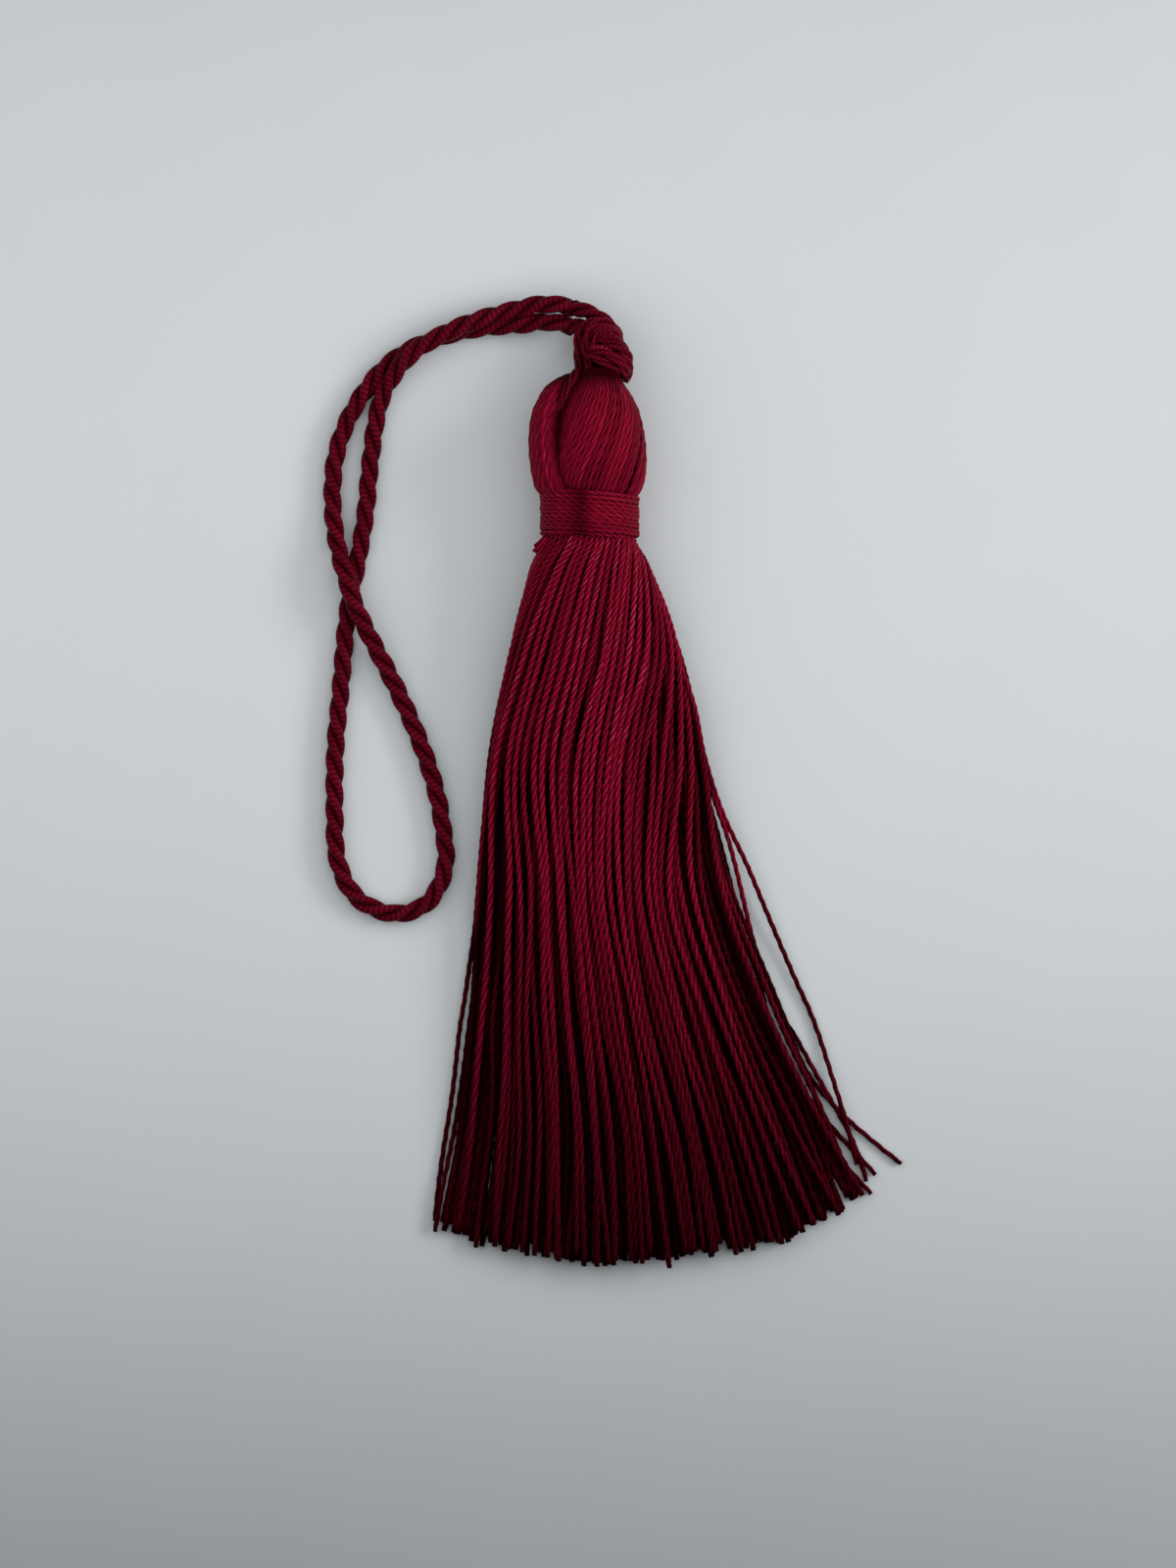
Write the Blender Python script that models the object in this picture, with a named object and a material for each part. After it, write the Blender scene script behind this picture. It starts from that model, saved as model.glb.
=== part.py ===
"""A silky thread tassel that lies on a table: its cut thread skirt fans out from a wound neck band,
and its hanging cord leaves the knot above the head and lies beside it in a loop.

Metres, +Z up. The origin is on the table under the middle of the neck band, and the skirt points
along -Y. Tables are in millimetres, and MM turns them into metres.
"""

import math
from collections import namedtuple

import bmesh
import bpy
import numpy as np
from mathutils import Matrix, Vector

MM = 0.001

# The skirt: a grid of threads whose roots are fused inside the neck.
THREADS_ACROSS = 14
THREADS_DEEP = 12
ROOT_Y = -3.4
THREAD_HALF_DIAGONAL = 0.48
THREAD_LEAST_HALF_DIAGONAL = 0.2
THREAD_GAP = 0.10
TIP_UNEVENNESS = 0.9

# A section of the bundle is an ellipse cut off by the table. turn is how far the bundle has
# twisted, in degrees, since the section before.
Section = namedtuple("Section", "y left right center_z half_height turn")
NECK = Section(ROOT_Y, -5.35, 5.35, 6.2, 5.05, 0)
SKIRT = (
    Section(-8.0, -8.1, 8.5, 6.0, 6.0, 12),
    Section(-18.5, -11.2, 12.4, 4.8, 6.1, 18),
    Section(-33.0, -13.9, 16.4, 3.4, 5.7, 24),
    Section(-50.0, -15.4, 19.3, 2.2, 4.9, 12),
    Section(-66.0, -17.0, 26.2, 1.3, 4.2, -6),
    Section(-82.0, -18.4, 33.6, 0.8, 3.5, -6),
    Section(-99.0, -18.6, 38.6, 0.5, 2.9, 0),
)

# Where the threads are cut, as y for an x at the tips.
TipPoint = namedtuple("TipPoint", "x y")
TIP_LINE = (
    TipPoint(-20.9, -96.5),
    TipPoint(-13.0, -99.8),
    TipPoint(0.0, -101.0),
    TipPoint(15.0, -100.7),
    TipPoint(26.0, -99.3),
    TipPoint(33.5, -94.5),
    TipPoint(39.0, -91.5),
    TipPoint(42.4, -88.0),
)

# Threads that stray from the bundle: how far outside its edge each one lies at the last sections.
Stray = namedtuple("Stray", "side at_50 at_66 at_82 at_tip")
STRAYS = (
    Stray("right", 3.4, 3.6, 3.0, 3.8),
    Stray("right", 1.2, 1.4, 1.3, 1.2),
    Stray("left", 0.5, 0.9, 1.2, 2.2),
)
FIRST_STRAY_SECTION = 3

# How the threads spread out from one section to the next.
SETTLE_STEPS = 6
SETTLE_ROUNDS = 40
SETTLE_SPACING = 1.1
FLOOR_CATCH = 1.6
PARTING_ROUNDS = 60
PARTING_SPACING = 0.8

# The head, ring by ring from the neck band to its top. groove is how deep its furrow is there,
# as a share of the radius.
Ring = namedtuple("Ring", "y left right center_z half_height turn groove")
HEAD = (
    Ring(3.75, -5.35, 5.35, 6.2, 5.05, 0, 0.0),
    Ring(4.15, -7.1, 7.0, 6.6, 6.5, -3, 0.04),
    Ring(5.6, -7.8, 7.5, 6.8, 7.1, -6, 0.08),
    Ring(8.6, -8.5, 7.7, 6.9, 7.6, -11, 0.14),
    Ring(11.8, -8.4, 7.3, 6.9, 7.5, -17, 0.20),
    Ring(14.6, -7.8, 6.6, 6.8, 6.7, -23, 0.25),
    Ring(16.6, -6.9, 5.6, 6.7, 5.3, -27, 0.25),
    Ring(17.8, -5.3, 4.0, 6.6, 3.8, -30, 0.20),
    Ring(18.3, -3.3, 1.8, 6.5, 2.0, -30, 0.0),
)
HEAD_THREAD_RELIEF = 0.018
GROOVE_X_AT_TOP = -2.6
GROOVE_X_AT_NECK = -4.3
GROOVE_WIDTH = 1.1
LEFT_LOBE_RISE = 0.9
LEFT_LOBE_X = -3.6
LEFT_LOBE_WIDTH = 2.0

# The wound neck band.
BAND_LENGTH = 6.3
BAND_TURNS = 11
BAND_SIDES = 32
BAND_OUTER_HALF_WIDTH = 6.75
BAND_OUTER_HALF_HEIGHT = 6.7
BAND_INNER_HALF_WIDTH = 5.72
BAND_INNER_HALF_HEIGHT = 5.42
BAND_THREAD_RELIEF = 0.2
BAND_SLOPE = -0.063

# The cut end of the band's own thread, which sticks out under its left edge.
BAND_END_ROOT = (-6.6, -3.15, 8.3)
BAND_END_TIP = (-7.75, -5.6, 8.1)
BAND_END_ROOT_RADIUS = 0.32
BAND_END_TIP_RADIUS = 0.72

# The hanging cord: three plies laid round each other.
CORD_RADIUS = 1.05
CORD_VALLEY = 0.76
CORD_PITCH = 10.2
CORD_STEPS_PER_PITCH = 6
CORD_PLIES = 3
CordPoint = namedtuple("CordPoint", "x y z")
CORD_ROUTE = (
    CordPoint(-2.25, 27.7, 4.2),
    CordPoint(-6.1, 29.2, 3.2),
    CordPoint(-11.0, 28.2, 2.8),
    CordPoint(-15.7, 26.7, 3.2),
    CordPoint(-20.2, 24.8, 3.4),
    CordPoint(-24.2, 22.2, 3.2),
    CordPoint(-27.2, 18.0, 1.8),
    CordPoint(-28.7, 13.9, 1.05),
    CordPoint(-29.9, 7.5, 1.05),
    CordPoint(-30.7, 0.6, 1.05),
    CordPoint(-31.7, -5.6, 1.05),
    CordPoint(-32.9, -12.8, 1.05),
    CordPoint(-33.9, -23.5, 1.05),
    CordPoint(-34.6, -31.5, 1.05),
    CordPoint(-34.7, -39.5, 1.05),
    CordPoint(-34.2, -46.5, 1.05),
    CordPoint(-31.6, -51.6, 1.05),
    CordPoint(-26.6, -53.8, 1.05),
    CordPoint(-22.0, -52.3, 1.05),
    CordPoint(-19.7, -47.5, 1.05),
    CordPoint(-20.1, -41.5, 1.05),
    CordPoint(-21.3, -35.8, 1.05),
    CordPoint(-23.5, -29.5, 1.05),
    CordPoint(-26.6, -22.6, 1.25),
    CordPoint(-29.5, -16.9, 2.5),
    CordPoint(-31.8, -12.2, 3.4),
    CordPoint(-33.4, -7.5, 3.3),
    CordPoint(-34.5, -2.6, 2.0),
    CordPoint(-35.0, 2.8, 1.1),
    CordPoint(-34.5, 8.5, 1.05),
    CordPoint(-32.7, 14.2, 1.05),
    CordPoint(-28.9, 19.7, 1.05),
    CordPoint(-24.7, 23.0, 1.05),
    CordPoint(-19.5, 25.0, 1.05),
    CordPoint(-14.5, 25.9, 1.1),
    CordPoint(-9.3, 26.3, 1.7),
    CordPoint(-5.5, 26.5, 2.6),
    CordPoint(-2.35, 25.5, 3.6),
)

# The knot: runs of doubled cord wrapped round a tight core.
KNOT_CORE_CENTER = (1.5, 23.1, 4.7)
KNOT_CORE_RADII = (3.0, 3.1, 3.6)
KnotPoint = namedtuple("KnotPoint", "x y z")
KnotRun = namedtuple("KnotRun", "radius points")
KNOT_RUNS = (
    KnotRun(1.05, (KnotPoint(-1.93, 27.58, 4.3), KnotPoint(1.5, 26.4, 6.0), KnotPoint(3.4, 25.0, 6.4),
                   KnotPoint(4.4, 23.0, 6.0), KnotPoint(4.3, 21.2, 4.8))),
    KnotRun(1.15, (KnotPoint(-0.9, 20.9, 4.6), KnotPoint(-0.7, 23.2, 6.4), KnotPoint(0.5, 24.9, 7.4),
                   KnotPoint(2.2, 24.9, 7.7), KnotPoint(3.5, 23.4, 7.3))),
    KnotRun(1.0, (KnotPoint(0.4, 21.2, 6.8), KnotPoint(0.8, 22.6, 8.0), KnotPoint(2.0, 23.3, 8.4),
                  KnotPoint(3.2, 22.7, 7.9))),
    KnotRun(1.1, (KnotPoint(0.6, 21.8, 6.9), KnotPoint(2.4, 21.9, 8.5), KnotPoint(4.3, 20.9, 8.3),
                  KnotPoint(5.2, 19.9, 7.3))),
    KnotRun(1.0, (KnotPoint(0.6, 21.0, 7.2), KnotPoint(2.2, 20.4, 8.9), KnotPoint(3.8, 19.4, 9.1),
                  KnotPoint(4.8, 18.9, 9.0))),
    KnotRun(1.0, (KnotPoint(-2.03, 25.4, 3.68), KnotPoint(-0.6, 25.0, 4.3), KnotPoint(0.8, 24.4, 4.9))),
    KnotRun(0.85, (KnotPoint(-0.6, 21.6, 5.6), KnotPoint(-0.7, 20.4, 6.4), KnotPoint(-0.5, 19.5, 6.7))),
    KnotRun(0.75, (KnotPoint(0.8, 21.4, 6.2), KnotPoint(0.8, 20.4, 6.6), KnotPoint(0.9, 19.4, 6.8))),
)

# name: colour, roughness
FINISHES = {
    "head_and_skirt": ((0.16, 0.007, 0.022, 1), 0.42),
    "binding_band": ((0.12, 0.006, 0.018, 1), 0.45),
    "binding_end": ((0.14, 0.008, 0.02, 1), 0.5),
    "knot": ((0.11, 0.010, 0.024, 1), 0.45),
    "hanging_cord": ((0.10, 0.010, 0.024, 1), 0.45),
}


def clear_scene():
    for item in list(bpy.data.objects):
        bpy.data.objects.remove(item, do_unlink=True)


def collection(name):
    made = bpy.data.collections.new(name)
    bpy.context.scene.collection.children.link(made)
    return made


def material(name):
    colour, roughness = FINISHES[name]
    made = bpy.data.materials.new(name)
    made.use_nodes = True
    shader = made.node_tree.nodes["Principled BSDF"]
    shader.inputs["Base Color"].default_value = colour
    shader.inputs["Roughness"].default_value = roughness
    return made


def object_from_bmesh(bm, name, into):
    """An object in metres from a bmesh in millimetres."""
    bmesh.ops.transform(bm, matrix=Matrix.Scale(MM, 4), verts=bm.verts)
    bmesh.ops.recalc_face_normals(bm, faces=bm.faces)
    mesh = bpy.data.meshes.new(name)
    bm.to_mesh(mesh)
    bm.free()
    made = bpy.data.objects.new(name, mesh)
    into.objects.link(made)
    return made


def smooth_route(points, step):
    """Evenly spaced points on a Catmull-Rom curve through the given ones."""
    knots = np.array(points, dtype=float)
    padded = np.vstack((2 * knots[0] - knots[1], knots, 2 * knots[-1] - knots[-2]))
    fine = []
    for before, start, end, after in zip(padded, padded[1:], padded[2:], padded[3:]):
        for t in np.arange(0, 1, 1 / 16):
            fine.append(0.5 * (2 * start + (end - before) * t
                               + (2 * before - 5 * start + 4 * end - after) * t * t
                               + (3 * start - before - 3 * end + after) * t ** 3))
    fine = np.array(fine + [knots[-1]])
    along = np.concatenate(([0], np.cumsum(np.linalg.norm(np.diff(fine, axis=0), axis=1))))
    wanted = np.linspace(0, along[-1], max(2, round(along[-1] / step) + 1))
    return np.column_stack([np.interp(wanted, along, fine[:, axis]) for axis in range(3)])


def poly_curve(name, points, into):
    curve = bpy.data.curves.new(name, "CURVE")
    curve.dimensions = "3D"
    curve.use_fill_caps = True
    spline = curve.splines.new("POLY")
    spline.points.add(len(points) - 1)
    for target, point in zip(spline.points, points):
        target.co = (*(float(value) * MM for value in point), 1)
    made = bpy.data.objects.new(name, curve)
    into.objects.link(made)
    return made


def square_to_disc(u, v):
    """A point of the square from -1 to 1 carried onto the unit disc."""
    return u * math.sqrt(1 - v * v / 2), v * math.sqrt(1 - u * u / 2)


def turned(x, z, degrees):
    angle = math.radians(degrees)
    return (x * math.cos(angle) - z * math.sin(angle),
            x * math.sin(angle) + z * math.cos(angle))


def center_x(section):
    return (section.left + section.right) / 2


def half_width(section):
    return (section.right - section.left) / 2


def heap_bounds(section, unit_x, floor):
    """The lowest and highest z of a section at a share of its half width."""
    reach = section.half_height * np.sqrt(np.maximum(0, 1 - unit_x * unit_x))
    return np.maximum(floor, section.center_z - reach), np.maximum(floor, section.center_z + reach)


def to_heap(disc, section, floor):
    """Points of the unit disc carried into a section, which is an ellipse cut off by the table."""
    unit_x, unit_z = disc[:, 0], disc[:, 1]
    chord = np.sqrt(np.maximum(1e-6, 1 - unit_x * unit_x))
    low, high = heap_bounds(section, unit_x, floor)
    share = (unit_z / chord + 1) / 2
    return np.column_stack((center_x(section) + unit_x * half_width(section), low + share * (high - low)))


def to_disc(points, section, floor):
    """The other way: points of a section carried back to the unit disc."""
    unit_x = np.clip((points[:, 0] - center_x(section)) / half_width(section), -0.999, 0.999)
    chord = np.sqrt(1 - unit_x * unit_x)
    low, high = heap_bounds(section, unit_x, floor)
    share = np.clip((points[:, 1] - low) / np.maximum(1e-6, high - low), 0, 1)
    return np.column_stack((unit_x, (2 * share - 1) * chord))


def section_area(section):
    """The area of the section's ellipse above the table."""
    cut = min(1, section.center_z / section.half_height)
    share = math.pi / 2 + math.asin(cut) + cut * math.sqrt(1 - cut * cut)
    return share * half_width(section) * section.half_height


def keep_inside(points, section, margin):
    """Points brought back inside the section, and up onto the table."""
    middle = np.array([center_x(section), section.center_z])
    radii = np.array([half_width(section), section.half_height]) - margin
    offset = (points - middle) / radii
    reach = np.linalg.norm(offset, axis=1)
    outside = reach > 1
    offset[outside] /= reach[outside, None]
    kept = middle + offset * radii
    kept[:, 1] = np.maximum(kept[:, 1], margin)
    return kept


def settle(points, section, margin, loose, rounds):
    """Threads push each other apart inside a section until they lie about evenly."""
    spacing = SETTLE_SPACING * math.sqrt(section_area(section) / len(points))
    for _ in range(rounds):
        apart = points[:, None, :] - points[None, :, :]
        distance = np.linalg.norm(apart, axis=2) + np.eye(len(points)) * 1000
        push = np.clip(spacing - distance, 0, None) / distance
        moved = keep_inside(points + 0.3 * (apart * push[..., None]).sum(axis=1), section, margin)
        resting = moved[:, 1] < FLOOR_CATCH * margin
        moved[resting, 1] = margin
        points = np.where(loose[:, None], moved, points)
    return points


def section_between(start, end, share):
    return Section(*(a + (b - a) * share for a, b in zip(start, end)))


def stray_threads(points):
    """The row of the thread that leaves the bundle for each stray."""
    chosen = []
    for stray in STRAYS:
        sign = 1 if stray.side == "right" else -1
        order = np.argsort(-sign * points[:, 0] + 0.5 * points[:, 1])
        chosen.append(next(int(row) for row in order if int(row) not in chosen))
    return chosen


def thread_sections():
    """The x and z of every thread at each section, from its root to its tip."""
    half = THREAD_HALF_DIAGONAL / math.sqrt(2)
    disc = np.array([square_to_disc(2 * (column + 0.5) / THREADS_ACROSS - 1,
                                    2 * (row + 0.5) / THREADS_DEEP - 1)
                     for row in range(THREADS_DEEP) for column in range(THREADS_ACROSS)])
    points = to_heap(disc, NECK, half)
    loose = np.ones(len(points), dtype=bool)
    sections = [points]
    last = NECK
    strays = []
    for index, section in enumerate(SKIRT):
        if index == FIRST_STRAY_SECTION:
            strays = stray_threads(points)
            loose[strays] = False
        stray_from = points[strays]
        for step in range(1, SETTLE_STEPS + 1):
            share = step / SETTLE_STEPS
            now = section_between(last, section, share)
            before = section_between(last, section, (step - 1) / SETTLE_STEPS)
            disc = to_disc(points, before, half)
            x, z = turned(disc[:, 0], disc[:, 1], section.turn / SETTLE_STEPS)
            points = to_heap(np.column_stack((x, z)), now, half)
            for row, stray, start in zip(strays, STRAYS, stray_from):
                outside = stray[1 + index - FIRST_STRAY_SECTION]
                edge = section.right + outside if stray.side == "right" else section.left - outside
                points[row] = start + (np.array((edge, half)) - start) * share
            points = settle(points, now, half, loose, SETTLE_ROUNDS)
        sections.append(points)
        last = section
    return part_threads(sections, half)


def part_threads(sections, floor):
    """Threads that would meet between two sections are moved apart at both of them."""
    for _ in range(PARTING_ROUNDS):
        for number in range(len(sections) - 1):
            for share in (0.2, 0.4, 0.6, 0.8, 1):
                points = sections[number] * (1 - share) + sections[number + 1] * share
                apart = points[:, None, :] - points[None, :, :]
                distance = np.linalg.norm(apart, axis=2) + np.eye(len(points)) * 1000
                push = np.clip(PARTING_SPACING - distance, 0, None) / np.maximum(distance, 0.01)
                move = 0.4 * (apart * push[..., None]).sum(axis=1)
                if number > 0:
                    sections[number] = sections[number] + move * (1 - share)
                sections[number + 1] = sections[number + 1] + move * share
        for points in sections[1:]:
            points[:, 1] = np.where(points[:, 1] < 1.3 * floor, floor, points[:, 1])
    return sections


def thread_levels(sections):
    """The y of every thread at each section, which runs on to its own cut end."""
    tips_x = sections[-1][:, 0]
    line = np.array(TIP_LINE)
    cut = np.interp(tips_x, line[:, 0], line[:, 1])
    clump = np.sin(1.9 * tips_x) + 0.6 * np.sin(4.3 * tips_x + 2 * sections[-1][:, 1])
    cut += TIP_UNEVENNESS * clump / 1.6
    levels = [np.full(len(tips_x), NECK.y)]
    for section in SKIRT:
        share = section.y / SKIRT[-1].y
        levels.append(section.y + (cut - SKIRT[-1].y) * share ** 2)
    return levels


def thread_sizes(sections):
    """The half diagonal of every thread at each section, which keeps it clear of its neighbours."""
    room = []
    for start, end in zip(sections, sections[1:]):
        nearest = np.full(len(start), 1000.0)
        for share in np.linspace(0.1, 1, 10):
            points = start + (end - start) * share
            distance = np.abs(points[:, None, :] - points[None, :, :]).max(axis=2)
            np.fill_diagonal(distance, 1000)
            nearest = np.minimum(nearest, distance.min(axis=1))
        room.append(nearest)
    sizes = []
    for number, nearest in enumerate(room):
        after = room[number + 1] if number + 1 < len(room) else nearest
        half_side = (np.minimum(nearest, after) - THREAD_GAP) / 2
        sizes.append(np.clip(half_side * math.sqrt(2), THREAD_LEAST_HALF_DIAGONAL, THREAD_HALF_DIAGONAL))
    return sizes


def square_corners(root_corners, middle):
    """The corner of a thread's square section that each corner of its root runs on to."""
    angles = [math.atan2(corner.z - middle[1], corner.x - middle[0]) for corner in root_corners]
    order = sorted(range(4), key=lambda item: angles[item])
    best = None
    for shift in range(4):
        square = {item: math.radians(-135 + 90 * ((place + shift) % 4))
                  for place, item in enumerate(order)}
        miss = sum(1 - math.cos(square[item] - angles[item]) for item in order)
        if best is None or miss < best[0]:
            best = (miss, square)
    return [best[1][item] for item in range(4)]


def draw_thread(bm, face, path, sizes):
    """One thread, drawn out of its root's face section by section."""
    corners = [vert.co.copy() for vert in face.verts]
    middle = (sum(corner.x for corner in corners) / 4, sum(corner.z for corner in corners) / 4)
    angles = square_corners(corners, middle)
    for (x, y, z), size in zip(path, sizes):
        face = bmesh.ops.extrude_discrete_faces(bm, faces=[face])["faces"][0]
        places = [Vector((x + size * math.cos(angle), y, z + size * math.sin(angle)))
                  for angle in angles]
        for vert in face.verts:
            item = min(range(4), key=lambda number: (vert.co - corners[number]).length)
            vert.co = places[item]
        corners = places


def head_point(ring, number, unit_x, unit_z):
    """A point of the head's skin: its threads' relief, its furrow and its rest on the table."""
    relief = HEAD_THREAD_RELIEF * (1 if number % 2 else -1) if ring.groove or ring.y > 4 else 0
    x, z = turned(unit_x, unit_z, ring.turn)
    along = (ring.y - HEAD[0].y) / (HEAD[-1].y - HEAD[0].y)
    groove_x = GROOVE_X_AT_NECK + (GROOVE_X_AT_TOP - GROOVE_X_AT_NECK) * along
    place_x = center_x(ring) + x * half_width(ring)
    dent = 0
    if z > 0:
        dent = ring.groove * math.exp(-((place_x - groove_x) / GROOVE_WIDTH) ** 2)
    scale = 1 + relief - dent
    rise = LEFT_LOBE_RISE * along ** 4 * math.exp(-((place_x - LEFT_LOBE_X) / LEFT_LOBE_WIDTH) ** 2)
    place_z = ring.center_z + z * ring.half_height * scale
    return Vector((center_x(ring) + x * half_width(ring) * scale, ring.y + rise, max(0, place_z)))


def make_head_and_skirt(into):
    bm = bmesh.new()
    bmesh.ops.create_grid(bm, x_segments=THREADS_ACROSS, y_segments=THREADS_DEEP, size=1)
    units = {}
    for vert in bm.verts:
        u, v = vert.co.x, vert.co.y
        units[vert] = square_to_disc(u, v)
    cells = sorted(bm.faces, key=lambda cell: (round(cell.calc_center_median().y, 4),
                                               cell.calc_center_median().x))
    rim = [edge for edge in bm.edges if edge.is_boundary]
    for vert, (x, z) in units.items():
        vert.co = (center_x(NECK) + x * half_width(NECK), NECK.y, NECK.center_z + z * NECK.half_height)

    ring_units = {vert: units[vert] for edge in rim for vert in edge.verts}
    order = sorted(ring_units, key=lambda vert: math.atan2(ring_units[vert][1], ring_units[vert][0]))
    numbers = {vert: number for number, vert in enumerate(order)}
    for ring in HEAD:
        drawn = bmesh.ops.extrude_edge_only(bm, edges=rim)["geom"]
        rim = [item for item in drawn if isinstance(item, bmesh.types.BMEdge)]
        fresh = [item for item in drawn if isinstance(item, bmesh.types.BMVert)]
        old_places = {vert: vert.co.copy() for vert in numbers}
        moved = {}
        for vert in fresh:
            twin = min(old_places, key=lambda old: (old_places[old] - vert.co).length_squared)
            moved[vert] = (numbers[twin], ring_units[twin])
        numbers = {vert: value[0] for vert, value in moved.items()}
        ring_units = {vert: value[1] for vert, value in moved.items()}
        for vert in fresh:
            vert.co = head_point(ring, numbers[vert], *ring_units[vert])
    top = bmesh.ops.contextual_create(bm, geom=rim)["faces"]
    bmesh.ops.triangulate(bm, faces=top)

    sections = thread_sections()
    levels = thread_levels(sections)
    sizes = thread_sizes(sections)
    for number, cell in enumerate(cells):
        path = [(points[number, 0], level[number], points[number, 1])
                for points, level in zip(sections[1:], levels[1:])]
        draw_thread(bm, cell, path, [size[number] for size in sizes])
    return object_from_bmesh(bm, "head_and_skirt", into)


def make_binding_band(into):
    """A turned ring with a ridge for each turn of thread, made oval and flat underneath."""
    bm = bmesh.new()
    rows = 2 * BAND_TURNS
    valley = 1 - BAND_THREAD_RELIEF / BAND_OUTER_HALF_WIDTH
    inner = BAND_INNER_HALF_WIDTH / BAND_OUTER_HALF_WIDTH
    profile = [(inner, -0.5), (valley, -0.5)]
    for row in range(1, rows):
        profile.append((1 if row % 2 else valley, row / rows - 0.5))
    profile += [(valley, 0.5), (inner, 0.5)]
    verts = [bm.verts.new((radius, along * BAND_LENGTH, 0)) for radius, along in profile]
    edges = [bm.edges.new(pair) for pair in zip(verts, verts[1:] + verts[:1])]
    bmesh.ops.spin(bm, geom=verts + edges, axis=(0, 1, 0), cent=(0, 0, 0),
                   steps=BAND_SIDES, angle=2 * math.pi, use_merge=True)
    bmesh.ops.remove_doubles(bm, verts=bm.verts, dist=0.0001)
    inner_height = BAND_INNER_HALF_HEIGHT / BAND_OUTER_HALF_HEIGHT
    for vert in bm.verts:
        radius = math.hypot(vert.co.x, vert.co.z)
        tall = inner_height / inner if radius < (inner + valley) / 2 else 1
        x = vert.co.x * BAND_OUTER_HALF_WIDTH
        z = NECK.center_z + vert.co.z * BAND_OUTER_HALF_HEIGHT * tall
        vert.co = (x, vert.co.y + BAND_SLOPE * x, max(0, z))
    return object_from_bmesh(bm, "binding_band", into)


def make_binding_end(into):
    """The frayed cut end of the band's thread, a short stub that widens to its tip."""
    root, tip = Vector(BAND_END_ROOT), Vector(BAND_END_TIP)
    bm = bmesh.new()
    bmesh.ops.create_cone(bm, cap_ends=True, segments=8, radius1=BAND_END_ROOT_RADIUS,
                          radius2=BAND_END_TIP_RADIUS, depth=(tip - root).length)
    turn = (tip - root).to_track_quat("Z", "Y").to_matrix().to_4x4()
    bmesh.ops.transform(bm, matrix=Matrix.Translation((root + tip) / 2) @ turn, verts=bm.verts)
    return object_from_bmesh(bm, "binding_end", into)


def make_hanging_cord(into, helpers):
    """Three plies laid round each other: a lobed outline carried along the route and twisted."""
    outline = []
    for number in range(3 * CORD_PLIES):
        angle = -2 * math.pi * number / (3 * CORD_PLIES)
        radius = CORD_RADIUS * (1 if number % 3 == 0 else CORD_VALLEY)
        outline.append((radius * math.cos(angle), radius * math.sin(angle), 0))
    section = poly_curve("cord_section", outline, helpers)
    section.data.use_fill_caps = False
    section.data.splines[0].use_cyclic_u = True
    section.hide_render = True
    section.display_type = "WIRE"

    points = smooth_route(CORD_ROUTE, CORD_PITCH / CORD_STEPS_PER_PITCH)
    cord = poly_curve("hanging_cord", points, into)
    cord.data.twist_mode = "Z_UP"
    cord.data.bevel_mode = "OBJECT"
    cord.data.bevel_object = section
    for number, point in enumerate(cord.data.splines[0].points):
        point.tilt = 2 * math.pi * number / CORD_STEPS_PER_PITCH
    return cord


def make_knot(into, helpers):
    """A tight core with the knot's runs of cord raised on it, all one solid."""
    bpy.ops.mesh.primitive_uv_sphere_add(segments=14, ring_count=8, radius=1,
                                         location=Vector(KNOT_CORE_CENTER) * MM,
                                         scale=Vector(KNOT_CORE_RADII) * MM)
    knot = bpy.context.object
    bpy.ops.object.transform_apply(location=False, rotation=False, scale=True)
    knot.name = "knot"
    for holder in list(knot.users_collection):
        holder.objects.unlink(knot)
    into.objects.link(knot)
    for number, run in enumerate(KNOT_RUNS):
        curve = poly_curve(f"knot_run_{number}", smooth_route(run.points, 1.1), helpers)
        curve.data.bevel_depth = run.radius * MM
        curve.data.bevel_resolution = 2
        bpy.context.view_layer.update()
        seen = curve.evaluated_get(bpy.context.evaluated_depsgraph_get())
        mesh = bpy.data.meshes.new_from_object(seen)
        bm = bmesh.new()
        bm.from_mesh(mesh)
        bmesh.ops.remove_doubles(bm, verts=bm.verts, dist=0.00001)
        bm.to_mesh(mesh)
        bm.free()
        solid = bpy.data.objects.new(f"knot_run_{number}_solid", mesh)
        solid.matrix_world = curve.matrix_world
        helpers.objects.link(solid)
        bpy.data.objects.remove(curve, do_unlink=True)
        solid.hide_render = True
        solid.display_type = "WIRE"
        join = knot.modifiers.new(solid.name, "BOOLEAN")
        join.operation = "UNION"
        join.solver = "EXACT"
        join.object = solid
    return knot


def main():
    clear_scene()
    parts = collection("thread_tassel")
    helpers = collection("helpers")
    made = [
        make_head_and_skirt(parts),
        make_binding_band(parts),
        make_binding_end(parts),
        make_knot(parts, helpers),
        make_hanging_cord(parts, helpers),
    ]
    for item in made:
        item.data.materials.clear()
        item.data.materials.append(material(item.name))


main()
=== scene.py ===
"""Dresses a silky thread tassel that lies on a pale table, laid out as a Blender add-on.

Each operator in the sidebar makes one piece or group of like pieces. Sizes are metres in the property
groups. The tables of shapes are in millimetres, and MM turns them into metres.
"""

import math
from collections import namedtuple

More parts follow.
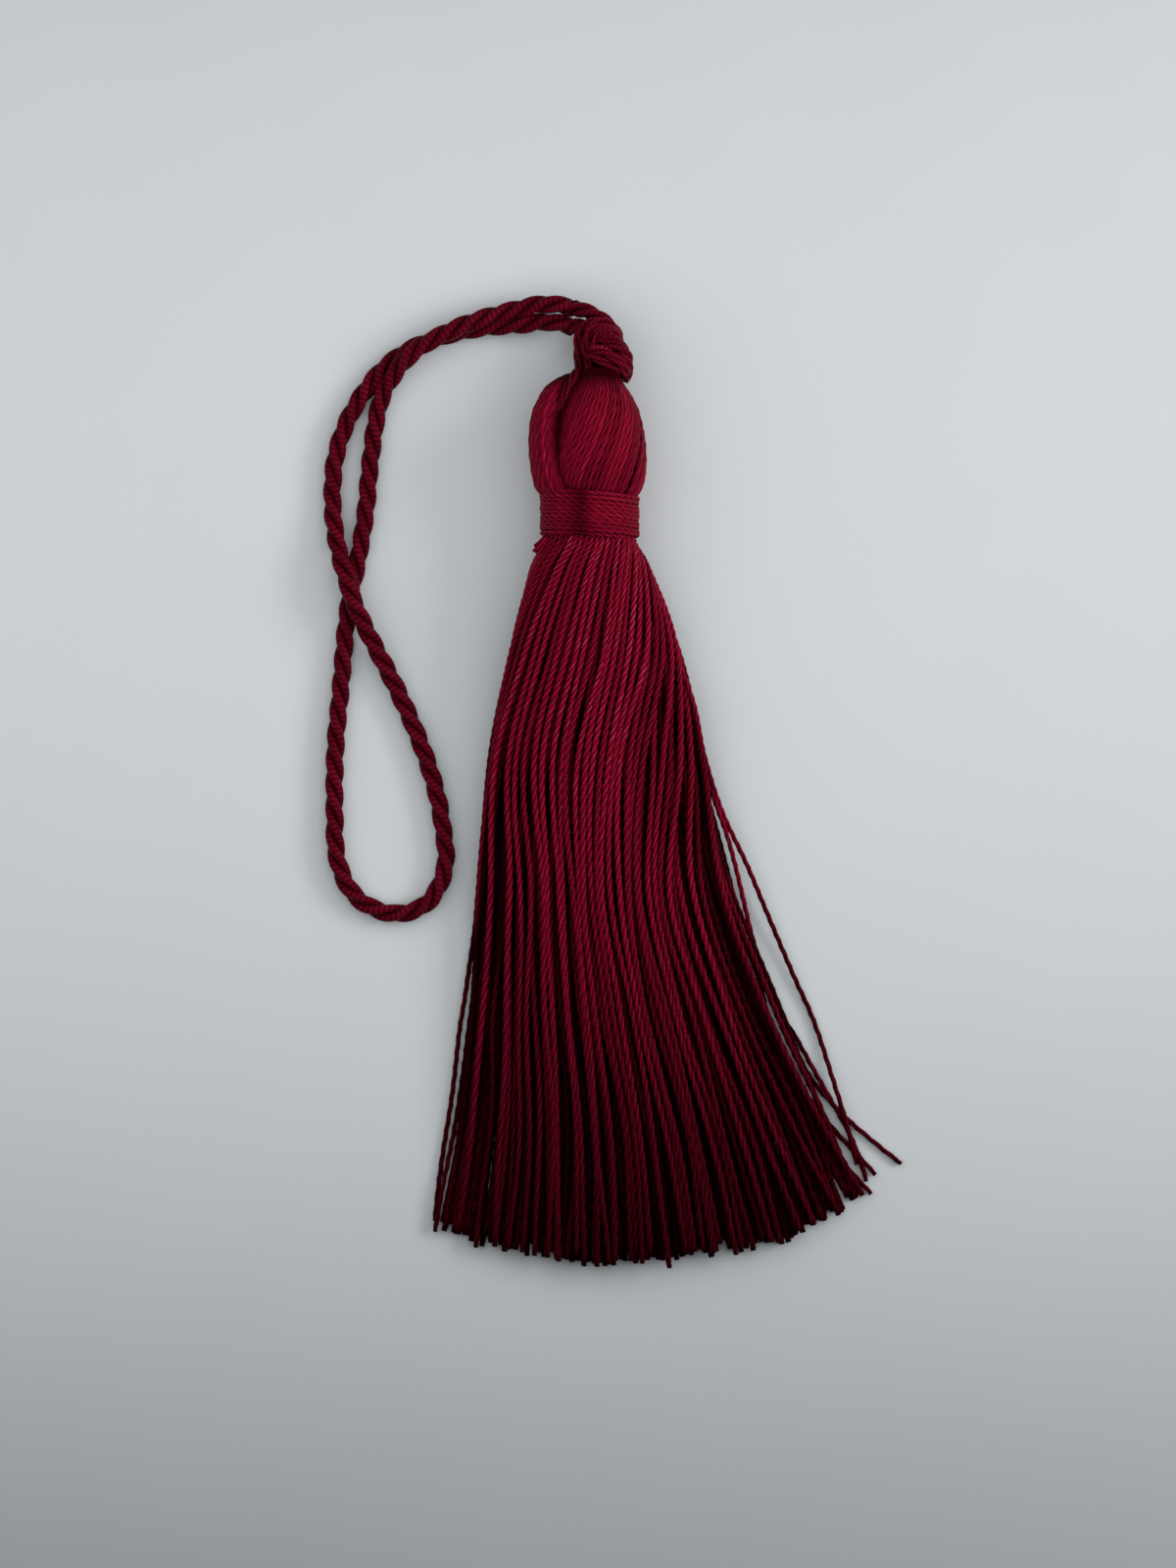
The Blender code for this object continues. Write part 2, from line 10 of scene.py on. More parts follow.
import bpy
import numpy as np
from bpy.props import FloatProperty, FloatVectorProperty, IntProperty, PointerProperty
from bpy.types import Operator, Panel, PropertyGroup
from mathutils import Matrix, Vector


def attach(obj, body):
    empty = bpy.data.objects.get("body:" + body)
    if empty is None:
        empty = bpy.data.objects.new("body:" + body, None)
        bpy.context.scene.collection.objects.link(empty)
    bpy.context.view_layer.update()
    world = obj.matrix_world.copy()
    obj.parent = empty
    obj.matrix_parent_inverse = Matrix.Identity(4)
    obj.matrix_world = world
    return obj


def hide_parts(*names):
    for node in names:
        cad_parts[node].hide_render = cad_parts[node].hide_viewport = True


bl_info = {
    "name": "Thread Tassel",
    "version": (1, 0, 0),
    "blender": (4, 5, 0),
    "location": "View3D > Sidebar > Tassel",
    "description": "Makes a silky thread tassel with its wound band, knot and twisted hanging cord",
    "category": "Add Mesh",
}

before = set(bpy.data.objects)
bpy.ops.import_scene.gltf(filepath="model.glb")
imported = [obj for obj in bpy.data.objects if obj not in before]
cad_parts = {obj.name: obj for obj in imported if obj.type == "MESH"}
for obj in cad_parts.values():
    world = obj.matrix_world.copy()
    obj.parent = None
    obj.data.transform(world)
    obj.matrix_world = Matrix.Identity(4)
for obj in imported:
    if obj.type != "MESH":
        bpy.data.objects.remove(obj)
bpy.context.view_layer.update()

MM = 0.001
BODY = "root"

# How far everything stays above the table.
TABLE_GAP = 0.02
TABLE_SIZE = 2.4

# Where the random draws of each group of pieces start.
SKIRT_SEED = 7
HEAD_SEED = 11
BAND_SEED = 5
KNOT_SEED = 3

# The photo's middle on the table, and the height of its view there.
VIEW_CENTER = (-0.2, -36.2)
VIEW_HEIGHT = 213.3

# The main lamp hangs low over the head, so that its light falls off towards the cut ends. A second
# one stands far off at the right, and throws the soft shadow on the left.
Lamp = namedtuple("Lamp", "name place size power aimed")
LAMPS = (
    Lamp("soft lamp", (-23.7, 10.9, 92.3), (658, 239), 0.495, False),
    Lamp("side lamp", (680, 138, 370), (500, 240), 2.9, True),
)
AIR_LIGHT = 0.04
AIR_COLOUR = (0.9, 0.97, 1.0, 1)

# The share of full painted light at which a thread has its plain colour; below it, the colour runs into
# painted shade, and above it into a painted highlight.
LIT_TONE = 0.68

# How much darker a thread gets between its fibre streaks, and from the lightest strand to the
# darkest, and how high its yarn marks stand in the bump.
STREAK_DEPTH = 0.4
STRAND_DEPTH = 0.48
YARN_HEIGHT = 1.5

# The skirt: the same threads, in the same places, as the frame's.
THREADS_ACROSS = 14
THREADS_DEEP = 12
ROOT_Y = -3.4
THREAD_HALF_DIAGONAL = 0.48
THREAD_HALF_SIDE = THREAD_HALF_DIAGONAL / math.sqrt(2)
TIP_UNEVENNESS = 0.9

# A section of the bundle is an ellipse cut off by the table. turn is how far the bundle has
# twisted, in degrees, since the section before.
Section = namedtuple("Section", "y left right center_z half_height turn")
NECK = Section(ROOT_Y, -5.35, 5.35, 6.2, 5.05, 0)
SKIRT = (
    Section(-8.0, -8.1, 8.5, 6.0, 6.0, 12),
    Section(-18.5, -11.2, 12.4, 4.8, 6.1, 18),
    Section(-33.0, -13.9, 16.4, 3.4, 5.7, 24),
    Section(-50.0, -15.4, 19.3, 2.2, 4.9, 12),
    Section(-66.0, -17.0, 26.2, 1.3, 4.2, -6),
    Section(-82.0, -18.4, 33.6, 0.8, 3.5, -6),
    Section(-99.0, -18.6, 38.6, 0.5, 2.9, 0),
)

# Where the frame's threads are cut, as x and y at the tips.
TIP_LINE = (
    (-20.9, -96.5), (-13.0, -99.8), (0.0, -101.0), (15.0, -100.7), (26.0, -99.3), (33.5, -94.5),
    (39.0, -91.5), (42.4, -88.0),
)

# Threads that stray from the bundle: how far outside its edge each one lies at the last sections.
Stray = namedtuple("Stray", "side at_50 at_66 at_82 at_tip")
STRAYS = (
    Stray("right", 3.4, 3.6, 3.0, 3.8),
    Stray("right", 1.2, 1.4, 1.3, 1.2),
    Stray("left", 0.5, 0.9, 1.2, 2.2),
)
FIRST_STRAY_SECTION = 3

# How the threads spread out from one section to the next.
SETTLE_STEPS = 6
SETTLE_ROUNDS = 40
SETTLE_SPACING = 1.1
SETTLE_PUSH = 0.3
FLOOR_CATCH = 1.6
PARTING_ROUNDS = 60
PARTING_SPACING = 0.8
PARTING_PUSH = 0.4
PARTING_PLACES = (0.2, 0.4, 0.6, 0.8, 1)
PARTING_FLOOR_CATCH = 1.3
FAR = 1000

# How a thread looks: three plies laid round each other, with valleys between them.
PLY_RADIUS_SHARE = 0.5556
PLY_ANGLES = (0, 35, 60, 85)
SKIRT_STEPS_PER_TURN = 7
SKIRT_PIECES = 4
THREAD_WIDTHS = (0.86, 1.06)
NECK_WIDTH_SHARE = 0.8
WIDTH_GROWTH = 0.2
FULL_WIDTH_AFTER = 35
TIP_WIDTH_SHARE = 0.9

# The root of a skirt thread, inside the neck, and the waves in which it wanders further down.
TUCK_Y = 1.5
ROOT_DRAW_IN = 0.88
WANDER_FROM = 45
WANDER_WAVES = (22, 48)

# Where the skirt's outermost threads lie at the neck and at each section. From the section at
# FLOW_FROM on, every thread keeps its place between them.
Edges = namedtuple("Edges", "left right")
SKIRT_EDGES = (
    Edges(-5.95, 5.95),
    Edges(-7.85, 8.25),
    Edges(-10.65, 12.1),
    Edges(-13.4, 15.3),
    Edges(-14.7, 18.6),
    Edges(-16.0, 24.6),
    Edges(-17.7, 32.3),
    Edges(-20.4, 38.6),
)
FLOW_FROM = 4
NECK_SPREAD_Z = 1.08

# Each thread strays a little from its place. Threads on top draw together in small groups, more and
# more from one section to the next, and some of them ride over their neighbours.
STATION_SCATTER = (0, 0.1, 0.2, 0.26, 0.3, 0.34, 0.38, 0.4)
GROUP_PULL = (0, 0, 0.06, 0.2, 0.3, 0.36, 0.36, 0.34)
GROUP_SIZES = (1, 1, 2, 2, 3, 4)
TOP_LAYER_DEPTH = 0.9
RIDERS = 26
RIDER_DRIFT = (0, 0, 0, 0.2, 0.6, 1.1, 1.5, 1.7)
RIDER_LIFT = 0.4

# Cut ends: the line that they reach, as x and y, how far inside it they lie, how uneven they are,
# and how many of the middle ones reach out.
CUT_LINE = (
    (-21.5, -96.6), (-13.0, -99.4), (-6.2, -100.7), (1.5, -101.6), (6.6, -101.3), (15.1, -100.2),
    (21.1, -99.0), (26.2, -99.0), (29.7, -96.6), (33.9, -94.8), (37.3, -92.4), (42.4, -88.0),
)
TIP_INSET = 0.6
TIP_SCATTER = 0.4
LONG_ENDS = 5
LONG_END_REACH = 1.2
LONG_END_REGION = (-10, 26)

# The lowest threads, which close the skirt against the table, painted dark as shade.
LOWEST_THREADS = 58
LOWEST_STEPS = 48
LOWEST_SHADE = 0.2
LOWEST_WIDTH = 1.1
LOWEST_SIDES = 8
LOWEST_SCATTER = 0.25
LOWEST_UNEVENNESS = 0.1
LOWEST_Z = 0.45
LOWEST_DEPTH_SHARE = 0.9
LOWEST_TIPS = (-0.3, 1.2)
LOWEST_RIGHT_INSET = (0, 0, 0, 0, 0.3, 0.8, 1.2, 2)

# Painted shade: how dark a thread looks by how deep it lies under the skirt's top, as a share of the
# section's half height, by how near its cut end it is, and on its flanks. The tables give a share for each y.
DEEPEST_SHADE = 0.08
FLANK_SHADE = 0.26
FACING_START = 0.25
FACING_GAIN = 0.95
SHADE_START = 1.3
SHADE_PER_DEPTH = ((-45, 4.1), (-12, 0.8))
SKIRT_FLANKS = ((-55, 0.24), (-12, 0.8))
SHADE_ALONG = ((-99, 0.14), (-82, 0.34), (-66, 0.64), (-50, 0.89), (-28, 1))

# The x, y and z of the strays once they have left the skirt, in the order of STRAYS, and then of
# more threads at its edges.
LOOSE_ENDS = (
    ((13.25, -22.9, 5.0), (15.55, -32.3, 3.8), (17.9, -39.9, 2.7), (21.2, -47.1, 1.8), (23.9, -53.4, 1.2),
     (27.8, -62.2, 0.7), (30.7, -68.7, 0.5), (33.4, -77.5, 0.9), (34.9, -82.7, 1.1), (36.2, -87.9, 0.5)),
    ((16.2, -36.3, 3.2), (18.6, -43.4, 2.4), (20.6, -50.5, 1.8), (22.5, -58.1, 1.3), (23.9, -62.0, 1.2),
     (26.6, -68.7, 1.0), (29.5, -75.3, 0.8), (34.2, -80.8, 0.5), (38.8, -84.9, 0.45), (42.4, -87.8, 0.5)),
    ((-15.05, -49.5, 1.6), (-15.55, -56.3, 1.2), (-16.8, -64.9, 0.9), (-17.7, -69.9, 0.6),
     (-18.8, -78.5, 0.5), (-19.8, -85.3, 0.45), (-20.4, -90.3, 0.45), (-20.9, -95.6, 0.45)),
    ((22.6, -66.5, 0.9), (26.2, -73.5, 0.7), (29.6, -78.4, 0.6), (33.1, -82.9, 0.6), (36.5, -86.6, 0.6),
     (38.9, -89.3, 0.5)),
    ((-15.5, -61.4, 1.0), (-16.6, -69.9, 0.7), (-17.4, -76.7, 0.6), (-18.1, -81.8, 0.6),
     (-19.0, -86.9, 0.7), (-19.9, -91.4, 1.1), (-20.9, -97.0, 0.9)),
    ((24.6, -73.5, 0.9), (28.0, -79.0, 0.8), (31.4, -83.8, 0.7), (35.0, -88.3, 0.6), (38.2, -91.9, 0.5)),
    ((25.9, -66.8, 0.7), (27.8, -70.2, 0.6), (29.7, -73.5, 0.6), (33.1, -79.5, 0.6), (35.2, -83.5, 0.6),
     (36.6, -87.0, 0.6), (37.5, -90.2, 0.5)),
)
LOOSE_WIDTH_SHARE = 0.78
LOOSE_LEAD = 8

# The head's two lobes, ring by ring from the neck to the fold over the cord's loop.
Ring = namedtuple("Ring", "y left right center_z half_height turn")
MAIN_LOBE = (
    Ring(1.0, -4.6, 5.4, 6.2, 4.9, 0),
    Ring(2.6, -4.9, 6.5, 6.2, 5.6, 0),
    Ring(3.6, -5.2, 7.2, 6.3, 6.1, -2),
    Ring(5.8, -5.4, 7.65, 6.7, 6.9, -8),
    Ring(8.4, -5.1, 7.7, 6.9, 7.4, -17),
    Ring(11.6, -4.6, 7.3, 6.9, 7.3, -28),
    Ring(14.0, -4.1, 6.7, 6.9, 6.7, -36),
    Ring(16.0, -3.3, 5.75, 6.8, 5.5, -42),
    Ring(17.7, -2.3, 4.7, 6.7, 4.1, -45),
    Ring(19.5, -1.5, 4.0, 6.6, 2.2, -46),
)
LEFT_LOBE = (
    Ring(1.0, -5.2, -0.9, 6.2, 4.3, 0),
    Ring(2.8, -6.8, -1.4, 6.2, 5.0, 0),
    Ring(4.0, -7.5, -2.2, 6.3, 5.6, -2),
    Ring(5.8, -7.9, -3.0, 6.3, 6.0, -4),
    Ring(8.4, -8.2, -3.6, 6.3, 6.4, -6),
    Ring(11.0, -8.2, -3.8, 6.3, 6.4, -8),
    Ring(13.5, -7.85, -3.5, 6.3, 6.0, -9),
    Ring(15.3, -7.1, -3.0, 6.3, 5.4, -10),
    Ring(16.9, -6.2, -2.3, 6.3, 4.4, -11),
    Ring(17.95, -4.85, -1.7, 6.3, 3.2, -12),
    Ring(18.7, -3.4, -1.3, 6.3, 1.6, -12),
)
CORE_SHARE = 0.9
CORE_INSET = 0.7
CORE_SIDES = 28
CORE_LENGTH_SHARE = 0.985
CORE_FLOOR = 0.3
HEAD_STEPS = 130
HEAD_LAY = 6.2
HEAD_SINK = 0.38
HEAD_SINK_SCATTER = 0.1
HEAD_FLOOR = 0.4
# Painted shade: HEAD_SHADE darkens the whole head, and HEAD_FLANKS the flanks of its threads.
HEAD_SHADE = 0.8
HEAD_THREAD_WIDTH = 0.86
HEAD_WIDTHS = (0.92, 1.08)
HEAD_FLANKS = 0.12
NARROWEST_SHARE = 0.62

# Painted shade in the crease: how each lobe darkens towards the groove between them, at shares of its width,
# and how light it is there.
GrooveShade = namedtuple("GrooveShade", "places shades")
MAIN_LOBE_GROOVE_SHADE = GrooveShade((0, 0.13), (0.2, 1))
LEFT_LOBE_GROOVE_SHADE = GrooveShade((0.5, 0.95), (1, 0.3))

# Painted shadow: the head darkens under the knot, between these two heights of y.
KNOT_SHADOW = (16.2, 18.4)
KNOT_SHADOW_SHARE = 0.9

# The wound neck band. Its thread wavers, and its middle is a little waisted.
BAND_LENGTH = 6.5
BAND_CENTER_X = 0.03
BAND_HALF_WIDTH = 6.5
BAND_HALF_HEIGHT = 6.35
BAND_SLOPE = -0.063
BAND_STEPS_PER_TURN = 100
BAND_LAY = 3.8
BAND_THREAD_WIDTH = 1.22
BAND_FLOOR = 0.55
BAND_WAVER = 0.085
BAND_LIFT = 0.07
BAND_WAIST = 0.16
BAND_TUCK = 0.9
# A painted dark reflection on the band's crest: how much darker, where across x, and how far it reaches.
BAND_DARK_REFLECTION_SHARE = 0.68
BAND_DARK_REFLECTION_X = -1.2
BAND_DARK_REFLECTION_REACH = 1.3
BAND_TURN_SHADES = (0.7, 1)
BAND_STRAND = 0.9

# The cut end of the band's own thread, which sticks out under its left edge.
BAND_END_ROOT = (-5.6, -3.2, 8.9)
BAND_END_TIP = (-6.9, -4.9, 8.3)
BAND_END_FIBRES = 26
BAND_END_SPREAD = (0.36, 0.3, 0.3)
BAND_END_ROOT_SHARE = 0.6
BAND_END_MIDDLE_SHARE = 0.7
BAND_FIBRE_WIDTH = 0.34
BAND_FIBRE_SIDES = 7

# The hanging cord: three plies laid round each other, along a route of x, y and z.
CORD_PITCH = 10.2
CORD_PLIES = 3
CORD_STEP = 0.5
PLY_SIDES = 12
PLY_REACH = 0.27
PLY_WIDTH = 0.52
CORD_STRANDS = (0.35, 0.5, 0.65)
CORD_ROUTE = (
    (-2.25, 28.1, 4.2), (-6.1, 28.7, 3.2), (-11.0, 27.75, 2.8), (-15.6, 26.4, 3.2), (-20.0, 24.5, 3.4),
    (-24.1, 21.9, 3.2), (-27.4, 17.9, 1.8), (-28.8, 14.0, 1.15), (-29.75, 7.5, 1.15), (-30.4, 0.6, 1.15),
    (-31.4, -5.6, 1.15), (-32.8, -12.8, 1.15), (-33.8, -23.5, 1.15), (-34.5, -31.5, 1.15),
    (-34.6, -39.5, 1.15), (-34.2, -46.5, 1.15), (-31.6, -51.6, 1.15), (-26.6, -53.8, 1.15),
    (-22.0, -52.3, 1.15), (-19.6, -47.5, 1.15), (-20.0, -41.5, 1.15), (-21.2, -35.8, 1.15),
    (-23.4, -29.5, 1.15), (-26.5, -22.6, 1.25), (-29.4, -16.9, 2.5), (-31.6, -12.2, 3.4),
    (-33.2, -7.5, 3.3), (-34.4, -2.6, 2.0), (-34.9, 2.8, 1.15), (-34.4, 8.5, 1.15), (-32.4, 14.0, 1.15),
    (-28.7, 19.4, 1.15), (-24.5, 22.7, 1.15), (-19.4, 24.7, 1.15), (-14.4, 25.75, 1.15),
    (-9.2, 26.1, 1.7), (-5.5, 26.35, 2.6), (-2.35, 25.6, 3.6),
)
# Painted shade over the whole cord, with darker flanks on its plies.
CORD_SHADE = 0.85

# The knot: runs of the doubled cord wrapped round a tight core. Each has its own radius, and
# points of x, y and z.
KNOT_CORE_CENTER = (1.7, 23.0, 4.9)
KNOT_CORE_RADII = (2.3, 2.3, 2.9)
KnotRun = namedtuple("KnotRun", "radius points")
KNOT_RUNS = (
    KnotRun(1.15, ((-2.25, 28.1, 4.2), (-0.9, 27.65, 5.1), (0.65, 26.85, 5.9), (2.2, 25.75, 6.3),
                   (3.2, 24.6, 6.1), (3.6, 23.6, 5.3), (3.6, 22.6, 4.4))),
    KnotRun(1.1, ((-2.35, 25.6, 3.6), (-1.2, 25.5, 4.6), (0.6, 24.8, 5.2))),
    KnotRun(0.75, ((-1.1, 18.9, 5.2), (-1.4, 21.0, 5.4), (-1.5, 23.0, 6.0), (-1.2, 24.5, 6.6),
                   (-0.2, 25.5, 7.2), (1.4, 25.9, 7.6), (2.7, 25.4, 7.5), (3.6, 24.4, 6.9),
                   (3.9, 23.3, 6.0))),
    KnotRun(0.75, ((0.0, 19.4, 6.3), (-0.4, 21.5, 6.6), (-0.4, 23.2, 7.2), (0.2, 24.5, 7.8),
                   (1.4, 24.9, 8.3), (2.6, 24.7, 8.3), (3.5, 23.9, 7.8), (4.0, 23.0, 6.9))),
    KnotRun(0.62, ((0.5, 22.5, 7.4), (1.2, 23.8, 8.5), (2.2, 24.4, 8.9), (3.3, 24.2, 8.6),
                   (4.0, 23.1, 7.6))),
    KnotRun(0.55, ((1.8, 23.0, 8.3), (2.6, 23.7, 9.0), (3.4, 23.5, 8.9), (4.2, 22.8, 8.0))),
    KnotRun(0.76, ((1.8, 23.1, 8.1), (3.5, 22.6, 8.7), (4.6, 21.8, 8.3), (5.2, 20.8, 7.4),
                   (5.2, 19.8, 6.4))),
    KnotRun(0.6, ((3.8, 23.2, 6.2), (4.5, 22.6, 6.4), (5.1, 21.7, 6.0), (5.3, 20.6, 5.4))),
    KnotRun(0.76, ((0.5, 22.3, 7.5), (2.1, 21.7, 8.6), (3.6, 20.8, 8.7), (4.6, 19.9, 8.0),
                   (4.9, 18.9, 6.9))),
    KnotRun(0.7, ((0.0, 21.7, 6.6), (1.2, 20.8, 7.6), (2.7, 19.9, 7.9), (4.1, 18.9, 7.3))),
    KnotRun(0.7, ((4.9, 21.4, 5.0), (5.2, 20.0, 5.1), (5.1, 18.9, 5.2), (4.7, 18.0, 5.2))),
    KnotRun(0.6, ((-1.2, 21.4, 5.8), (-1.4, 20.4, 7.0), (-1.7, 19.2, 8.6), (-2.3, 17.9, 10.0),
                  (-3.0, 16.5, 10.9), (-3.6, 15.2, 11.1), (-3.8, 13.8, 10.4))),
    KnotRun(0.55, ((-0.1, 21.3, 6.2), (-0.2, 20.3, 7.2), (-0.4, 19.4, 8.0), (-0.6, 18.3, 8.4))),
)
KNOT_PITCH = 7.5
KNOT_STEPS = 40
KNOT_PLY_REACH = 0.5
KNOT_PLY_WIDTH = 0.98
# Painted shade on the knot's runs: darker overall, on their flanks, and on the side towards the knot's heart.
KNOT_SHADE = 0.95
KNOT_FLANKS = 0.1
HEART_SHARE = 0.4

# The cord's rounds on the knot's lower side: how high each lies, and how far it swings out.
KNOT_WRAP_RADIUS = 0.8
KNOT_WRAP_ARC = (-75, 255)
KNOT_WRAP_SWAY = 0.5
KnotWrap = namedtuple("KnotWrap", "z reach")
KNOT_WRAPS = (
    KnotWrap(1.2, 1.3),
    KnotWrap(2.5, 2.1),
    KnotWrap(3.9, 2.25),
    KnotWrap(5.3, 2.1),
)

# The cord's strands between the knot and the head, painted in the deepest shade so that they show only as
# shade, and how they fall, as y and z.
KNOT_NECK_STRANDS = 5
KNOT_NECK_START = -0.4
KNOT_NECK_SPACING = 1.2
KNOT_NECK_RADIUS = 0.75
KNOT_NECK_FALL = ((21.6, 5.2), (19.9, 6.0), (18.2, 6.4))


def length_property(name, description, default, low, high):
    return FloatProperty(name=name, description=description, default=default, min=low, max=high,
                         subtype="DISTANCE", unit="LENGTH")


def colour_property(name, description, default):
    return FloatVectorProperty(name=name, description=description, default=default, size=3,
                               min=0, max=1, subtype="COLOR")


class TasselSizes(PropertyGroup):
    """Sizes that change how the threads and the cord are laid."""

    thread_width: length_property(
        "Thread width", "Width across the plies of a skirt thread", 0.00098, 0.0005, 0.0015)
    lay_at_neck: length_property(
        "Lay at the neck", "Length of one turn of a thread's plies at the neck", 0.0027, 0.001, 0.01)
    lay_at_tips: length_property(
        "Lay at the tips", "Length of one turn of a thread's plies at its cut end", 0.0072, 0.001, 0.02)
    wander: length_property(
        "Wander", "How far a skirt thread strays sideways from its straight run", 0.00012, 0, 0.002)
    head_threads: IntProperty(
        name="Head threads", description="Threads folded over the main lobe of the head",
        default=27, min=8, max=60)
    left_lobe_threads: IntProperty(
        name="Left lobe threads", description="Threads folded over the left lobe of the head",
        default=17, min=6, max=40)
    band_turns: IntProperty(
        name="Band turns", description="Turns of thread round the neck", default=11, min=6, max=20)
    cord_width: length_property(
        "Cord width", "Width of the three-ply hanging cord", 0.00243, 0.001, 0.004)
    camera_height: length_property(
        "Camera height", "Height of the camera above the table", 0.55, 0.2, 2)


class TasselColours(PropertyGroup):
    """Colours of the threads and the table."""

    thread: colour_property(
        "Thread", "Silky skirt and head thread where it is lit", (0.3, 0.0055, 0.028))
    # Darker fibres and painted shade: the colour that a thread's tone runs to where it is low.
    thread_dark_fibres_and_shade: colour_property(
        "Thread, deep", "The same thread in its darker fibres", (0.01, 0.0001, 0.0004))
    # A painted highlight: the colour that a thread's tone runs to on its lightest crests.
    thread_painted_highlight: colour_property(
        "Thread, gleam", "The same thread on the crests that catch the light", (0.4, 0.075, 0.15))
    band: colour_property("Band", "Thread wound round the neck", (0.25, 0.0045, 0.023))
    cord: colour_property("Cord", "Hanging cord and knot", (0.165, 0.004, 0.016))
    # Darker fibres and painted shade: the colour that the cord's tone runs to where it is low.
    cord_dark_fibres_and_shade: colour_property(
        "Cord, deep", "The same cord in its darker fibres", (0.004, 0.00005, 0.0002))
    table: colour_property("Table", "Pale surface that the tassel lies on", (0.60, 0.633, 0.655))


# Curves and tubes

def smooth_rows(rows, steps):
    """A Catmull-Rom curve through the rows of a table, with so many points to each of its spans."""
    knots = np.array(rows, dtype=float)
    padded = np.vstack((2 * knots[0] - knots[1], knots, 2 * knots[-1] - knots[-2]))
    fine = []
    for before, start, end, after in zip(padded, padded[1:], padded[2:], padded[3:]):
        for t in np.arange(steps) / steps:
            fine.append(0.5 * (2 * start + (end - before) * t
                               + (2 * before - 5 * start + 4 * end - after) * t * t
                               + (3 * start - before - 3 * end + after) * t ** 3))
    return np.array(fine + [knots[-1]])


def arc_lengths(points):
    return np.concatenate(([0], np.cumsum(np.linalg.norm(np.diff(points, axis=0), axis=1))))


def spaced(points, marks):
    """The points of a line at the given shares of its length, and those lengths."""
    along = arc_lengths(points)
    wanted = marks * along[-1]
    return np.column_stack([np.interp(wanted, along, points[:, axis]) for axis in range(3)]), wanted


def smooth_route(points, step):
    """Evenly spaced points on a smooth curve through the given ones."""
    fine = smooth_rows(points, 16)
    count = max(2, round(arc_lengths(fine)[-1] / step) + 1)
    return spaced(fine, np.linspace(0, 1, count))[0]


def carried_frames(paths, first_up):
    """The side and up directions at every point of every path, carried along without spin."""
    tangents = np.gradient(paths, axis=1)
    tangents /= np.linalg.norm(tangents, axis=2, keepdims=True)
    ups = np.empty_like(paths)
    up = np.broadcast_to(np.array(first_up, dtype=float), paths[:, 0].shape)
    for step in range(paths.shape[1]):
        tangent = tangents[:, step]
        up = up - (up * tangent).sum(axis=1, keepdims=True) * tangent
        up = up / np.linalg.norm(up, axis=1, keepdims=True)
        ups[:, step] = up
    return np.cross(ups, tangents), ups


def tube_rings(paths, outline, widths, twists, first_up=(0, 0, 1)):
    """The outline set round every path, point by point, at its width and twist there, and kept
    above the table."""
    sides, ups = carried_frames(paths, first_up)
    cosines, sines = np.cos(twists)[..., None], np.sin(twists)[..., None]
    across = (outline[:, 0] * cosines - outline[:, 1] * sines) * widths[..., None]
    over = (outline[:, 0] * sines + outline[:, 1] * cosines) * widths[..., None]
    rings = (paths[:, :, None] + across[..., None] * sides[:, :, None]
             + over[..., None] * ups[:, :, None])
    rings[..., 2] = np.maximum(rings[..., 2], TABLE_GAP)
    return rings


def round_outline(count):
    """A circle of width one."""
    angles = 2 * np.pi * np.arange(count) / count
    return 0.5 * np.column_stack((np.cos(angles), np.sin(angles)))


def three_ply_outline():
    """The round of a thread of three plies, of width one, with a valley between each two."""
    radius = 0.5 * PLY_RADIUS_SHARE
    offset = 0.5 - radius
    points = []
    for ply in range(3):
        for degrees in PLY_ANGLES:
            off = math.radians(min(degrees, 120 - degrees))
            reach = offset * math.cos(off) + math.sqrt(radius ** 2 - (offset * math.sin(off)) ** 2)
            angle = math.radians(120 * ply + degrees)
            points.append((reach * math.cos(angle), reach * math.sin(angle)))
    return np.array(points)


def flank_shades(rings, paths, outward, darkest=FLANK_SHADE):
    """Painted shade: light on the side of each tube that faces out, and dark on its flanks and its inner
    side, where the neighbours would shade it.
    """
    arms = rings - paths[:, :, None]
    arms /= np.linalg.norm(arms, axis=3, keepdims=True)
    outward = outward / np.linalg.norm(outward, axis=2, keepdims=True)
    facing = (arms * outward[:, :, None]).sum(axis=3)
    return darkest + (1 - darkest) * np.clip(FACING_START + FACING_GAIN * facing, 0, 1)


